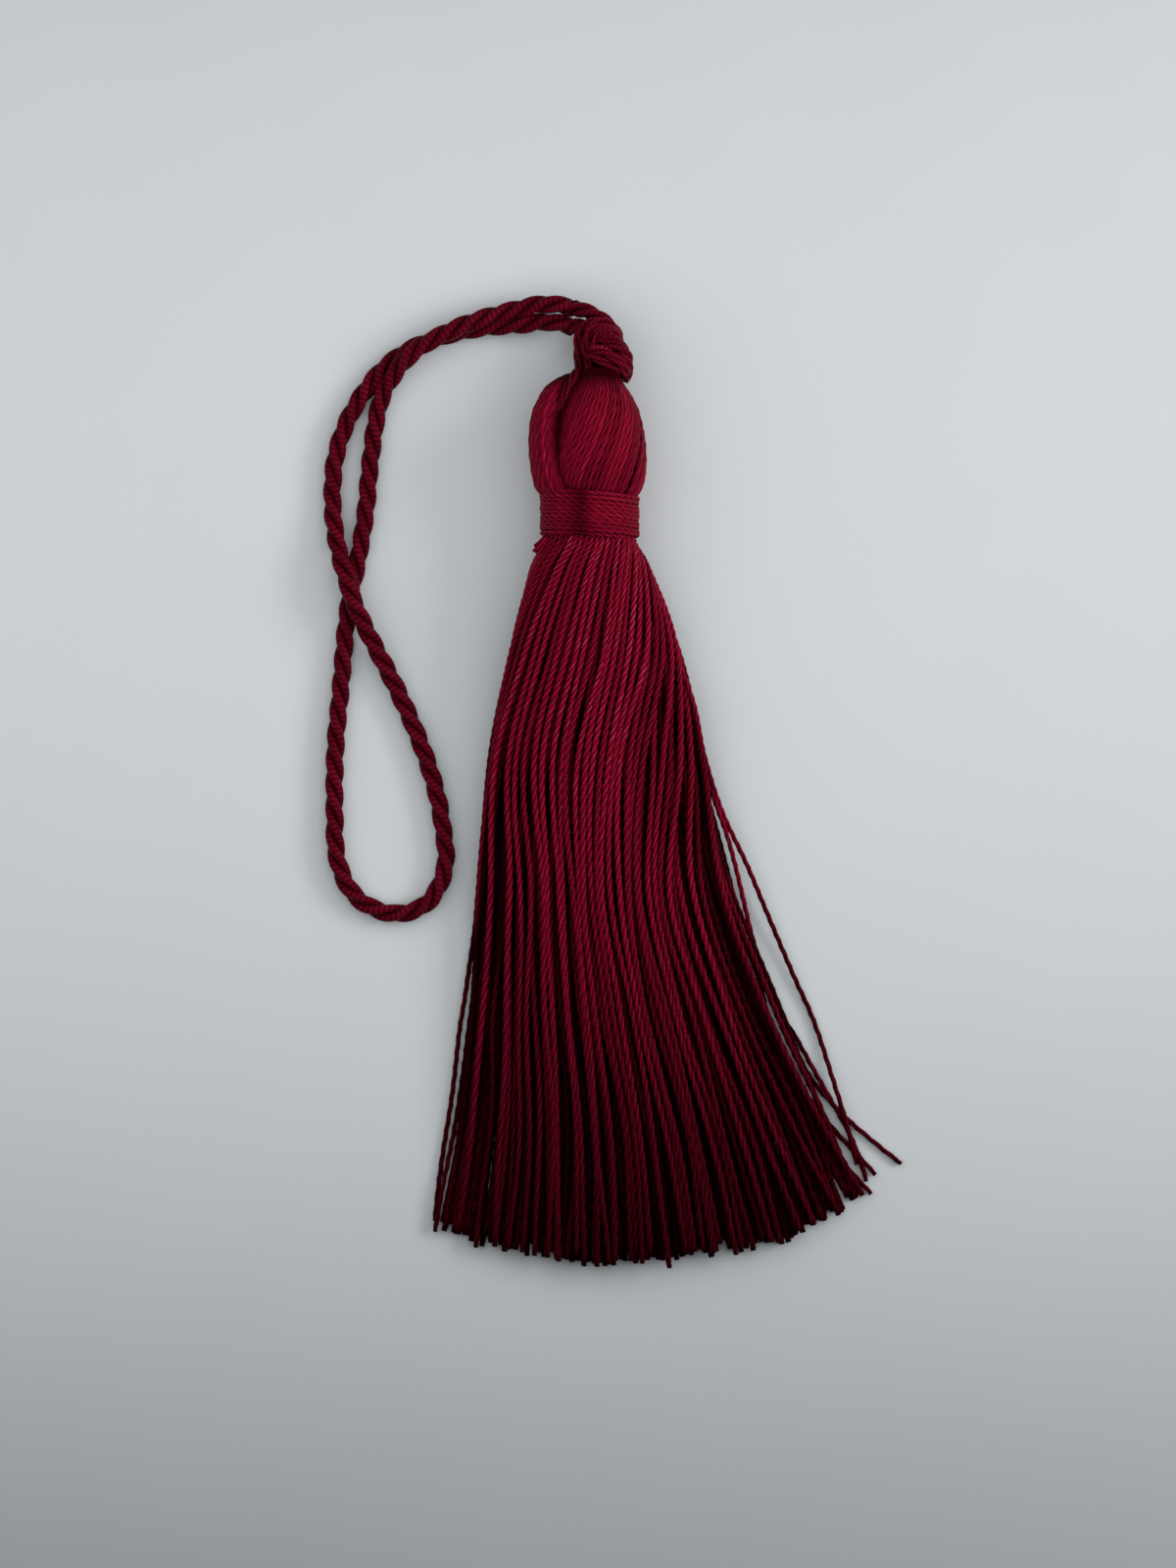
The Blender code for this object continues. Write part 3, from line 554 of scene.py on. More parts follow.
def tubes_object(name, rings, lengths, strands, shades=1.0):
    """One object of closed tubes. Its UV map runs round a tube in u and along it, in millimetres, in v.
    The attribute "strand" holds a number from 0 to 1 for each tube, and "shade" the painted light and shade,
    from 0 to 1, at each of its points."""
    tubes, steps, sides, _ = rings.shape
    number = np.arange(tubes * steps * sides).reshape(tubes, steps, sides)
    after = np.roll(number, -1, axis=2)
    walls = np.stack((number[:, :-1], after[:, :-1], after[:, 1:], number[:, 1:]), axis=-1)
    caps = np.concatenate((number[:, 0, ::-1], number[:, -1]))
    corners = np.concatenate((walls.ravel(), caps.ravel()))
    wall_count, cap_count = walls.size // 4, len(caps)
    starts = np.concatenate((4 * np.arange(wall_count),
                             walls.size + sides * np.arange(cap_count)))

    mesh = bpy.data.meshes.new(name)
    mesh.vertices.add(number.size)
    mesh.vertices.foreach_set("co", (rings.reshape(-1) * MM).astype(np.float32))
    mesh.loops.add(len(corners))
    mesh.loops.foreach_set("vertex_index", corners.astype(np.int32))
    mesh.polygons.add(len(starts))
    mesh.polygons.foreach_set("loop_start", starts.astype(np.int32))
    mesh.polygons.foreach_set("use_smooth", np.arange(len(starts)) < wall_count)

    around = np.arange(sides) / sides
    u = np.stack((around, around + 1 / sides, around + 1 / sides, around), axis=-1)
    u = np.broadcast_to(u, (tubes, steps - 1, sides, 4))
    low = np.broadcast_to(lengths[:, :-1, None, None], (tubes, steps - 1, sides, 2))
    high = np.broadcast_to(lengths[:, 1:, None, None], (tubes, steps - 1, sides, 2))
    v = np.concatenate((low, high), axis=-1)
    cap_u = np.broadcast_to(around, (2 * tubes, sides))
    cap_v = np.broadcast_to(np.concatenate((lengths[:, 0], lengths[:, -1]))[:, None], (2 * tubes, sides))
    uv = np.concatenate((np.stack((u.ravel(), v.ravel()), axis=-1),
                         np.stack((cap_u.ravel(), cap_v.ravel()), axis=-1)))
    layer = mesh.uv_layers.new(name="lay")
    layer.data.foreach_set("uv", uv.astype(np.float32).ravel())
    mesh.update(calc_edges=True)
    strand = mesh.attributes.new("strand", "FLOAT", "POINT")
    strand.data.foreach_set("value", np.repeat(strands, steps * sides).astype(np.float32))
    shade = mesh.attributes.new("shade", "FLOAT", "POINT")
    shades = np.broadcast_to(shades, rings.shape[:3])
    shade.data.foreach_set("value", shades.ravel().astype(np.float32))
    mesh.validate()

    made = bpy.data.objects.new(name, mesh)
    bpy.context.scene.collection.objects.link(made)
    return made


def ply_tubes(path, reach, width, pitch, phase=0.0):
    """The rings of the cord's plies laid round a path, their middle lines, and how long the path is
    at each point."""
    sides, ups = carried_frames(path[None], (0, 0, 1))
    along = arc_lengths(path)
    lines = []
    for ply in range(CORD_PLIES):
        angles = (-2 * np.pi * (along / pitch + ply / CORD_PLIES) + phase)[:, None]
        lines.append(path + reach * (np.cos(angles) * sides[0] + np.sin(angles) * ups[0]))
    lines = np.array(lines)
    blank = np.zeros(lines.shape[:2])
    return tube_rings(lines, round_outline(PLY_SIDES), blank + width, blank), lines, blank + along


def stacked(rows):
    """Rows of like things, as one array of each thing."""
    return [np.array(column) for column in zip(*rows)]


# Materials

def value_node(nodes, operation, *values):
    """A Math node whose inputs are linked sockets or plain numbers."""
    node = nodes.new("ShaderNodeMath")
    node.operation = operation
    for socket, value in zip(node.inputs, values):
        if isinstance(value, (int, float)):
            socket.default_value = value
        else:
            nodes.id_data.links.new(value, socket)
    return node.outputs[0]


def lay_group(name, inputs, outputs, fill):
    """The shader node group of that name. The first time, it is made with a "Lay" input and the
    given ones, and fill joins its nodes."""
    if name in bpy.data.node_groups:
        return bpy.data.node_groups[name]
    group = bpy.data.node_groups.new(name, "ShaderNodeTree")
    group.interface.new_socket("Lay", in_out="INPUT", socket_type="NodeSocketVector")
    for label, default in inputs:
        socket = group.interface.new_socket(label, in_out="INPUT", socket_type="NodeSocketFloat")
        socket.default_value = default
    for label in outputs:
        group.interface.new_socket(label, in_out="OUTPUT", socket_type="NodeSocketFloat")
    given, out = group.nodes.new("NodeGroupInput"), group.nodes.new("NodeGroupOutput")
    split = group.nodes.new("ShaderNodeSeparateXYZ")
    group.links.new(given.outputs["Lay"], split.inputs[0])
    fill(group.nodes, group.links, given.outputs, split.outputs, out.inputs)
    return group


def join_fibres(nodes, links, given, lay, out):
    """Fine fibres that run along a ply: streaks of tone, and the height for a bump."""
    angle = value_node(nodes, "MULTIPLY", lay["X"], 2 * math.pi)
    round_x = value_node(nodes, "MULTIPLY", value_node(nodes, "COSINE", angle), given["Fineness"])
    round_y = value_node(nodes, "MULTIPLY", value_node(nodes, "SINE", angle), given["Fineness"])
    shifted = value_node(nodes, "MULTIPLY_ADD", given["Strand"], 91.0, round_x)
    along = value_node(nodes, "DIVIDE", lay["Y"], given["Length"])
    joined = nodes.new("ShaderNodeCombineXYZ")
    for socket, value in zip(joined.inputs, (shifted, round_y, along)):
        links.new(value, socket)
    streaks = nodes.new("ShaderNodeTexNoise")
    streaks.inputs["Scale"].default_value = 1.0
    streaks.inputs["Detail"].default_value = 3.0
    streaks.inputs["Roughness"].default_value = 0.6
    links.new(joined.outputs[0], streaks.inputs["Vector"])
    spread = nodes.new("ShaderNodeMapRange")
    spread.inputs["From Min"].default_value = 0.32
    spread.inputs["From Max"].default_value = 0.68
    links.new(streaks.outputs["Fac"], spread.inputs["Value"])
    links.new(spread.outputs["Result"], out["Streak"])
    links.new(streaks.outputs["Fac"], out["Height"])


def ridge_of(nodes, turns, shape):
    """A wave from 0 to 1 with one crest to each turn."""
    wave = value_node(nodes, shape, value_node(nodes, "MULTIPLY", turns, 2 * math.pi))
    return value_node(nodes, "MULTIPLY_ADD", wave, 0.5, 0.5)


def join_yarn_marks(nodes, links, given, lay, out):
    """The slanting marks of the fine yarns that a ply is spun from, used as a bump and as painted shade
    between the yarns.
    """
    turns = value_node(nodes, "DIVIDE", lay["Y"], given["Spacing"])
    slanted = value_node(nodes, "MULTIPLY_ADD", lay["X"], given["Slant"], turns)
    links.new(ridge_of(nodes, slanted, "SINE"), out["Ridge"])


def join_ply_ridges(nodes, links, given, lay, out):
    """Painted light on the crest of each ply of a thread, and painted shade in the valleys between them."""
    turns = value_node(nodes, "MULTIPLY", lay["X"], given["Plies"])
    links.new(ridge_of(nodes, turns, "COSINE"), out["Ridge"])


def silk_groups():
    """The three node groups that every silk shares."""
    return (lay_group("Silk fibres", (("Strand", 0.0), ("Fineness", 3.0), ("Length", 2.5)),
                      ("Streak", "Height"), join_fibres),
            lay_group("Ply valley shade", (("Plies", 3.0),), ("Ridge",), join_ply_ridges),
            lay_group("Yarn marks", (("Spacing", 0.45), ("Slant", 1.0)), ("Ridge",), join_yarn_marks))


def dimmed(nodes, tone, mask, depth):
    """A tone that falls by the given share where the mask is 0."""
    return value_node(nodes, "MULTIPLY", tone, value_node(nodes, "MULTIPLY_ADD", mask, depth, 1 - depth))


def silk_material(name, colours, fineness, ridges=0.0, yarn_spacing=0.0, yarn_depth=0.6):
    """Silky thread: fibre streaks along each ply, a tone of its own for each thread, painted shade in the
    valleys between its plies and wherever the "shade" attribute is low, and a painted crimson highlight. The
    colours are the deep one for darker fibres and painted shade, the lit one, and the painted highlight."""
    made = bpy.data.materials.new(name)
    made.use_nodes = True
    nodes, links = made.node_tree.nodes, made.node_tree.links
    shader = nodes["Principled BSDF"]
    lay = nodes.new("ShaderNodeUVMap")
    lay.uv_map = "lay"
    strand, shade = (nodes.new("ShaderNodeAttribute") for _ in range(2))
    strand.attribute_name, shade.attribute_name = "strand", "shade"

    def place(group, **settings):
        node = nodes.new("ShaderNodeGroup")
        node.node_tree = group
        for label, value in settings.items():
            node.inputs[label].default_value = value
        links.new(lay.outputs["UV"], node.inputs["Lay"])
        return node

    fibre_group, ridge_group, yarn_group = silk_groups()
    fibres = place(fibre_group, Fineness=fineness)
    links.new(strand.outputs["Fac"], fibres.inputs["Strand"])
    tone = dimmed(nodes, shade.outputs["Fac"], fibres.outputs["Streak"], STREAK_DEPTH)
    tone = dimmed(nodes, tone, strand.outputs["Fac"], STRAND_DEPTH)
    height = fibres.outputs["Height"]
    if ridges:
        tone = dimmed(nodes, tone, place(ridge_group).outputs["Ridge"], ridges)
    if yarn_spacing:
        yarns = place(yarn_group, Spacing=yarn_spacing)
        tone = dimmed(nodes, tone, yarns.outputs["Ridge"], yarn_depth)
        height = value_node(nodes, "MULTIPLY_ADD", yarns.outputs["Ridge"], YARN_HEIGHT, height)

    # The tone runs from painted shade, through the thread's plain colour at LIT_TONE, to a painted highlight.
    ramp = nodes.new("ShaderNodeValToRGB")
    steps = ramp.color_ramp.elements
    steps.new(LIT_TONE)
    for step, colour in zip(steps, colours):
        step.color = (*colour, 1)
    links.new(tone, ramp.inputs["Fac"])
    links.new(ramp.outputs["Color"], shader.inputs["Base Color"])

    bump = nodes.new("ShaderNodeBump")
    bump.inputs["Strength"].default_value = 0.5
    bump.inputs["Distance"].default_value = 0.06 * MM
    links.new(height, bump.inputs["Height"])
    links.new(bump.outputs["Normal"], shader.inputs["Normal"])
    shader.inputs["Roughness"].default_value = 0.38
    shader.inputs["Specular IOR Level"].default_value = 0.04
    shader.inputs["Specular Tint"].default_value = (1.0, 0.1, 0.22, 1)
    return made


def table_material(colour):
    """A smooth pale board with a faint mottle."""
    made = bpy.data.materials.new("pale_board")
    made.use_nodes = True
    nodes, links = made.node_tree.nodes, made.node_tree.links
    shader = nodes["Principled BSDF"]
    place = nodes.new("ShaderNodeTexCoord")
    mottle = nodes.new("ShaderNodeTexNoise")
    mottle.inputs["Scale"].default_value = 60
    mottle.inputs["Detail"].default_value = 4
    links.new(place.outputs["Object"], mottle.inputs["Vector"])
    colours = nodes.new("ShaderNodeMix")
    colours.data_type = "RGBA"
    colours.inputs["A"].default_value = (*(0.985 * value for value in colour), 1)
    colours.inputs["B"].default_value = (*(1.015 * value for value in colour), 1)
    links.new(mottle.outputs["Fac"], colours.inputs["Factor"])
    links.new(colours.outputs["Result"], shader.inputs["Base Color"])
    shader.inputs["Roughness"].default_value = 0.6
    shader.inputs["Specular IOR Level"].default_value = 0.3
    return made


def finish_piece(piece, material, node):
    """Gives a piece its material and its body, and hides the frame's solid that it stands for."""
    piece.data.materials.clear()
    piece.data.materials.append(material)
    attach(piece, BODY)
    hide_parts(node)


# The skirt's threads, laid as the frame's are

def square_to_disc(u, v):
    """A point of the square from -1 to 1 carried onto the unit disc."""
    return u * math.sqrt(1 - v * v / 2), v * math.sqrt(1 - u * u / 2)


def turned(x, z, degrees):
    angle = math.radians(degrees)
    return (x * math.cos(angle) - z * math.sin(angle),
            x * math.sin(angle) + z * math.cos(angle))


def center_x(section):
    return (section.left + section.right) / 2


def half_width(section):
    return (section.right - section.left) / 2


def heap_bounds(section, unit_x, floor):
    """The lowest and highest z of a section at a share of its half width."""
    reach = section.half_height * np.sqrt(np.maximum(0, 1 - unit_x * unit_x))
    return np.maximum(floor, section.center_z - reach), np.maximum(floor, section.center_z + reach)


def to_heap(disc, section, floor):
    """Points of the unit disc carried into a section, which is an ellipse cut off by the table."""
    unit_x, unit_z = disc[:, 0], disc[:, 1]
    chord = np.sqrt(np.maximum(1e-6, 1 - unit_x * unit_x))
    low, high = heap_bounds(section, unit_x, floor)
    share = (unit_z / chord + 1) / 2
    return np.column_stack((center_x(section) + unit_x * half_width(section), low + share * (high - low)))


def to_disc(points, section, floor):
    """The other way: points of a section carried back to the unit disc."""
    unit_x = np.clip((points[:, 0] - center_x(section)) / half_width(section), -0.999, 0.999)
    chord = np.sqrt(1 - unit_x * unit_x)
    low, high = heap_bounds(section, unit_x, floor)
    share = np.clip((points[:, 1] - low) / np.maximum(1e-6, high - low), 0, 1)
    return np.column_stack((unit_x, (2 * share - 1) * chord))


def section_area(section):
    """The area of the section's ellipse above the table."""
    cut = min(1, section.center_z / section.half_height)
    share = math.pi / 2 + math.asin(cut) + cut * math.sqrt(1 - cut * cut)
    return share * half_width(section) * section.half_height


def keep_inside(points, section, margin):
    """Points brought back inside the section, and up onto the table."""
    middle = np.array([center_x(section), section.center_z])
    radii = np.array([half_width(section), section.half_height]) - margin
    offset = (points - middle) / radii
    reach = np.linalg.norm(offset, axis=1)
    outside = reach > 1
    offset[outside] /= reach[outside, None]
    kept = middle + offset * radii
    kept[:, 1] = np.maximum(kept[:, 1], margin)
    return kept


def pushed_apart(points, spacing):
    """How far each thread is pushed by those that lie nearer to it than the spacing."""
    apart = points[:, None, :] - points[None, :, :]
    distance = np.linalg.norm(apart, axis=2) + np.eye(len(points)) * FAR
    push = np.clip(spacing - distance, 0, None) / np.maximum(distance, 0.01)
    return (apart * push[..., None]).sum(axis=1)


def settle(points, section, margin, loose):
    """Threads push each other apart inside a section until they lie about evenly."""
    spacing = SETTLE_SPACING * math.sqrt(section_area(section) / len(points))
    for _ in range(SETTLE_ROUNDS):
        moved = keep_inside(points + SETTLE_PUSH * pushed_apart(points, spacing), section, margin)
        resting = moved[:, 1] < FLOOR_CATCH * margin
        moved[resting, 1] = margin
        points = np.where(loose[:, None], moved, points)
    return points


def section_between(start, end, share):
    return Section(*(a + (b - a) * share for a, b in zip(start, end)))


def stray_threads(points):
    """The row of the thread that leaves the bundle for each stray."""
    chosen = []
    for stray in STRAYS:
        sign = 1 if stray.side == "right" else -1
        order = np.argsort(-sign * points[:, 0] + 0.5 * points[:, 1])
        chosen.append(next(int(row) for row in order if int(row) not in chosen))
    return chosen


def thread_sections():
    """The x and z of every thread at each section, from its root to its tip."""
    half = THREAD_HALF_SIDE
    disc = np.array([square_to_disc(2 * (column + 0.5) / THREADS_ACROSS - 1,
                                    2 * (row + 0.5) / THREADS_DEEP - 1)
                     for row in range(THREADS_DEEP) for column in range(THREADS_ACROSS)])
    points = to_heap(disc, NECK, half)
    loose = np.ones(len(points), dtype=bool)
    sections = [points]
    last = NECK
    strays = []
    for index, section in enumerate(SKIRT):
        if index == FIRST_STRAY_SECTION:
            strays = stray_threads(points)
            loose[strays] = False
        stray_from = points[strays]
        for step in range(1, SETTLE_STEPS + 1):
            share = step / SETTLE_STEPS
            now = section_between(last, section, share)
            before = section_between(last, section, (step - 1) / SETTLE_STEPS)
            disc = to_disc(points, before, half)
            x, z = turned(disc[:, 0], disc[:, 1], section.turn / SETTLE_STEPS)
            points = to_heap(np.column_stack((x, z)), now, half)
            for row, stray, start in zip(strays, STRAYS, stray_from):
                outside = stray[1 + index - FIRST_STRAY_SECTION]
                edge = section.right + outside if stray.side == "right" else section.left - outside
                points[row] = start + (np.array((edge, half)) - start) * share
            points = settle(points, now, half, loose)
        sections.append(points)
        last = section
    return part_threads(sections, half)


def part_threads(sections, floor):
    """Threads that would meet between two sections are moved apart at both of them."""
    for _ in range(PARTING_ROUNDS):
        for number in range(len(sections) - 1):
            for share in PARTING_PLACES:
                points = sections[number] * (1 - share) + sections[number + 1] * share
                move = PARTING_PUSH * pushed_apart(points, PARTING_SPACING)
                if number > 0:
                    sections[number] = sections[number] + move * (1 - share)
                sections[number + 1] = sections[number + 1] + move * share
        for points in sections[1:]:
            points[:, 1] = np.where(points[:, 1] < PARTING_FLOOR_CATCH * floor, floor, points[:, 1])
    return sections


def thread_levels(sections):
    """The y of every thread at each section, which runs on to its own cut end."""
    tips_x = sections[-1][:, 0]
    cut = read_at(tips_x, TIP_LINE)
    clump = np.sin(1.9 * tips_x) + 0.6 * np.sin(4.3 * tips_x + 2 * sections[-1][:, 1])
    cut += TIP_UNEVENNESS * clump / 1.6
    levels = [np.full(len(tips_x), NECK.y)]
    for section in SKIRT:
        share = section.y / SKIRT[-1].y
        levels.append(section.y + (cut - SKIRT[-1].y) * share ** 2)
    return levels


def read_rows(rows, y):
    """A table's left, right, middle height and half height at each y."""
    return [np.interp(y, rows[:, 0], rows[:, column]) for column in (1, 2, 3, 4)]


def section_at(y):
    """The skirt's section at each y, as arrays of its middle, half width, middle height and half height."""
    left, right, middle_z, half_height = read_rows(np.array([NECK] + list(SKIRT))[::-1], y)
    return (left + right) / 2, (right - left) / 2, middle_z, half_height


def depth_below_top(x, y, z):
    """How deep a point lies under the skirt's rounded top."""
    middle_x, reach_x, middle_z, half_height = section_at(y)
    unit_x = np.clip((x - middle_x) / reach_x, -1, 1)
    return np.maximum(0, middle_z + half_height * np.sqrt(1 - unit_x * unit_x) - z)


def read_at(places, table):
    """What a table of pairs gives at each place."""
    points = np.array(table)
    return np.interp(places, points[:, 0], points[:, 1])


def skirt_shades(paths):
    """Painted shade on each point of the skirt's threads, by its depth in the skirt and its distance down."""
    levels = paths[..., 1]
    depths = depth_below_top(*np.moveaxis(paths, -1, 0))
    fall = read_at(levels, SHADE_PER_DEPTH) * depths / section_at(levels)[3]
    return np.clip(SHADE_START - fall, DEEPEST_SHADE, 1) * read_at(levels, SHADE_ALONG)


def away_from_heart(paths):
    """The way out of the skirt at each point: straight up on its top, and sideways at its edges."""
    middle_x, reach_x, middle_z, half_height = section_at(paths[..., 1])
    return np.stack(((paths[..., 0] - middle_x) / reach_x ** 2, np.zeros(middle_x.shape),
                     np.maximum(0.2, paths[..., 2] - middle_z) / half_height ** 2), axis=-1)


def eased(rows):
    """Rows of numbers with each inner one drawn half way to the mean of its two neighbours."""
    inner = (rows[:, :-2] + 2 * rows[:, 1:-1] + rows[:, 2:]) / 4
    return np.concatenate((rows[:, :1], inner, rows[:, -1:]), axis=1)


def spread_to_edges(stations, inside):
    """Threads eased into smooth runs, which fill each section up to its edges."""
    sections = (NECK,) + SKIRT
    half = THREAD_HALF_SIDE
    x, z = eased(stations[..., 0]), eased(stations[..., 2])
    z[:, 0] = NECK.center_z + NECK_SPREAD_Z * (z[:, 0] - NECK.center_z)
    low, high = x[inside].min(axis=0), x[inside].max(axis=0)
    share = (x - low) / (high - low)
    disc = to_disc(np.column_stack((x[:, FLOW_FROM], z[:, FLOW_FROM])), sections[FLOW_FROM], half)
    for index, (section, edges) in enumerate(zip(sections, SKIRT_EDGES)):
        held = min(index, FLOW_FROM)
        stations[:, index, 0] = edges.left + share[:, held] * (edges.right - edges.left)
        stations[:, index, 2] = z[:, index] if index <= FLOW_FROM else to_heap(disc, section, half)[:, 1]
    return stations


def draw_into_groups(stations, chance):
    """Scatters the threads' stations, draws the top ones together in small groups, and lets some of
    them ride over."""
    stations[:, :, 0] += chance.normal(0, 1, stations.shape[:2]) * np.array(STATION_SCATTER)
    depths = depth_below_top(*stations[:, -2].T)
    top = [row for row in np.argsort(stations[:, -2, 0]) if depths[row] < TOP_LAYER_DEPTH]
    pull = np.array(GROUP_PULL)
    start = 0
    while start < len(top):
        group = top[start:start + int(chance.choice(GROUP_SIZES))]
        start += len(group)
        middle = stations[group, :, 0].mean(axis=0)
        stations[group, :, 0] += pull * (middle - stations[group, :, 0])
    for row in chance.choice(top, RIDERS, replace=False):
        drift = np.array(RIDER_DRIFT)
        stations[row, :, 0] += chance.uniform(-1, 1) * drift
        stations[row, :, 2] += RIDER_LIFT * np.minimum(1, drift)
    return stations


def skirt_lines(wander, chance):
    """A smooth line for every skirt thread, from inside the neck to its cut end, the loose ones first."""
    sections = thread_sections()
    levels = thread_levels(sections)
    strays = stray_threads(sections[FIRST_STRAY_SECTION])
    stations = np.array([np.column_stack((points[:, 0], level, points[:, 1]))
                         for points, level in zip(sections, levels)]).transpose(1, 0, 2)
    inside = np.setdiff1d(np.arange(len(stations)), strays)
    stations = draw_into_groups(spread_to_edges(stations, inside), chance)
    stations[:, -1, 1] = cut_at(stations[:, -1, 0]) + chance.normal(0, TIP_SCATTER, len(stations))
    first, last = LONG_END_REGION
    middle = inside[(stations[inside, -1, 0] > first) & (stations[inside, -1, 0] < last)]
    stations[chance.choice(middle, LONG_ENDS, replace=False), -1, 1] -= LONG_END_REACH

    ends = np.array([loose[-1] for loose in LOOSE_ENDS[len(strays):]])
    for end in ends:
        away = np.linalg.norm(stations[:, -1, :2] - end[:2], axis=1)
        strays.append(next(int(row) for row in np.argsort(away) if int(row) not in strays))
    lines = []
    for number in strays + [row for row in range(len(stations)) if row not in strays]:
        rows = list(stations[number])
        if number in strays:
            loose = LOOSE_ENDS[strays.index(number)]
            rows = [row for row in rows if row[1] > loose[0][1] + LOOSE_LEAD] + list(loose)
        root = (ROOT_DRAW_IN * stations[number, 0, 0], TUCK_Y, stations[number, 0, 2])
        line = smooth_rows([root] + rows, 24)
        down = np.clip((NECK.y - line[:, 1]) / WANDER_FROM, 0, 1)
        turns = line[:, 1] / chance.uniform(*WANDER_WAVES) + chance.random()
        line[:, 0] += down * (wander * np.sin(2 * np.pi * turns))
        lines.append(line)
    return lines


def cut_at(x):
    """Where the threads are cut, as the y for an x."""
    return read_at(x, CUT_LINE) + TIP_INSET


def lowest_lines(chance):
    """Lines for the lowest threads, side by side on the table from edge to edge of the skirt."""
    lines = []
    for number in range(LOWEST_THREADS):
        share = (number + 0.5 + chance.uniform(-LOWEST_SCATTER, LOWEST_SCATTER)) / LOWEST_THREADS
        rows = []
        for section, edges, inset in zip((NECK,) + SKIRT, SKIRT_EDGES, LOWEST_RIGHT_INSET):
            x = edges.left + share * (edges.right - inset - edges.left)
            bottom = max(LOWEST_Z, section.center_z - LOWEST_DEPTH_SHARE * section.half_height)
            rows.append((x, section.y, bottom + LOWEST_UNEVENNESS * chance.random()))
        rows[-1] = (x, cut_at(x) + chance.uniform(*LOWEST_TIPS), rows[-1][2])
        lines.append(smooth_rows(rows, 12))
    return lines


def lay_turns(lengths, first, last):
    """How many turns the plies have made at each length, as their lay grows from first to last."""
    growth = (last - first) / lengths[-1]
    return np.log(1 + growth * lengths / first) / growth


# Operators

class TasselOperator:
    bl_options = {"REGISTER", "UNDO"}

    @property
    def sizes(self):
        return bpy.context.scene.tassel_sizes

    @property
    def colours(self):
        return bpy.context.scene.tassel_colours

    def silk(self, name, lit, deep, fineness, **relief):
        """A silk of two of the tassel's colours, its plain one and its painted shade, with the painted
        highlight that all its threads share.
        """
        colours = [getattr(self.colours, label) for label in (deep, lit, "thread_painted_highlight")]
        return silk_material(name, colours, fineness, **relief)


class TASSEL_OT_stage(TasselOperator, Operator):
    """Add the pale table, the soft lamps and the camera that looks straight down."""

    bl_idname = "tassel.stage"
    bl_label = "Table, Light and Camera"

    def execute(self, context):
        bpy.ops.object.select_all(action="DESELECT")
        bpy.ops.mesh.primitive_plane_add(size=TABLE_SIZE, location=(0, 0, 0))
        table = context.object
        table.name = "table"
        table.data.materials.append(table_material(self.colours.table))

        for lamp in LAMPS:
            self.add_lamp(lamp)
        world = bpy.data.worlds.new("room air")
        world.use_nodes = True
        air = world.node_tree.nodes["Background"]
        air.inputs["Color"].default_value = AIR_COLOUR
        air.inputs["Strength"].default_value = AIR_LIGHT
        context.scene.world = world

        lens = bpy.data.cameras.new("camera")
        lens.sensor_fit = "VERTICAL"
        height = self.sizes.camera_height
        lens.angle_y = 2 * math.atan(VIEW_HEIGHT * MM / 2 / height)
        camera = bpy.data.objects.new("camera", lens)
        camera.location = (VIEW_CENTER[0] * MM, VIEW_CENTER[1] * MM, height)
        context.scene.collection.objects.link(camera)
        context.scene.camera = camera
        context.scene.view_settings.view_transform = "Standard"
        return {"FINISHED"}

    def add_lamp(self, lamp):
        """One soft lamp, which faces straight down or, if it is aimed, the middle of the tassel."""
        light = bpy.data.lights.new(lamp.name, "AREA")
        light.shape = "RECTANGLE"
        light.size, light.size_y = (length * MM for length in lamp.size)
        light.energy = lamp.power
        made = bpy.data.objects.new(lamp.name, light)
        made.location = Vector(lamp.place) * MM
        if lamp.aimed:
            made.rotation_euler = made.location.to_track_quat("Z", "Y").to_euler()
        made.visible_camera = False
        bpy.context.scene.collection.objects.link(made)


class TASSEL_OT_hanging_cord(TasselOperator, Operator):
    """Add the looped three-ply cord that the tassel hangs by."""

    bl_idname = "tassel.hanging_cord"
    bl_label = "Hanging Cord"

    def execute(self, context):
        width = self.sizes.cord_width / MM
        path = smooth_route(CORD_ROUTE, CORD_STEP)
        rings, lines, lengths = ply_tubes(path, PLY_REACH * width, PLY_WIDTH * width, CORD_PITCH)
        # Painted shade: the cord a little darker overall, and darker on each ply's flanks.
        cord = tubes_object("hanging_cord_plies", rings, lengths, np.array(CORD_STRANDS),
                            CORD_SHADE * flank_shades(rings, lines, lines - path))
        material = self.silk("cord_silk", "cord", "cord_dark_fibres_and_shade", 2.4, yarn_spacing=0.62)
        finish_piece(cord, material, "hanging_cord")
        return {"FINISHED"}


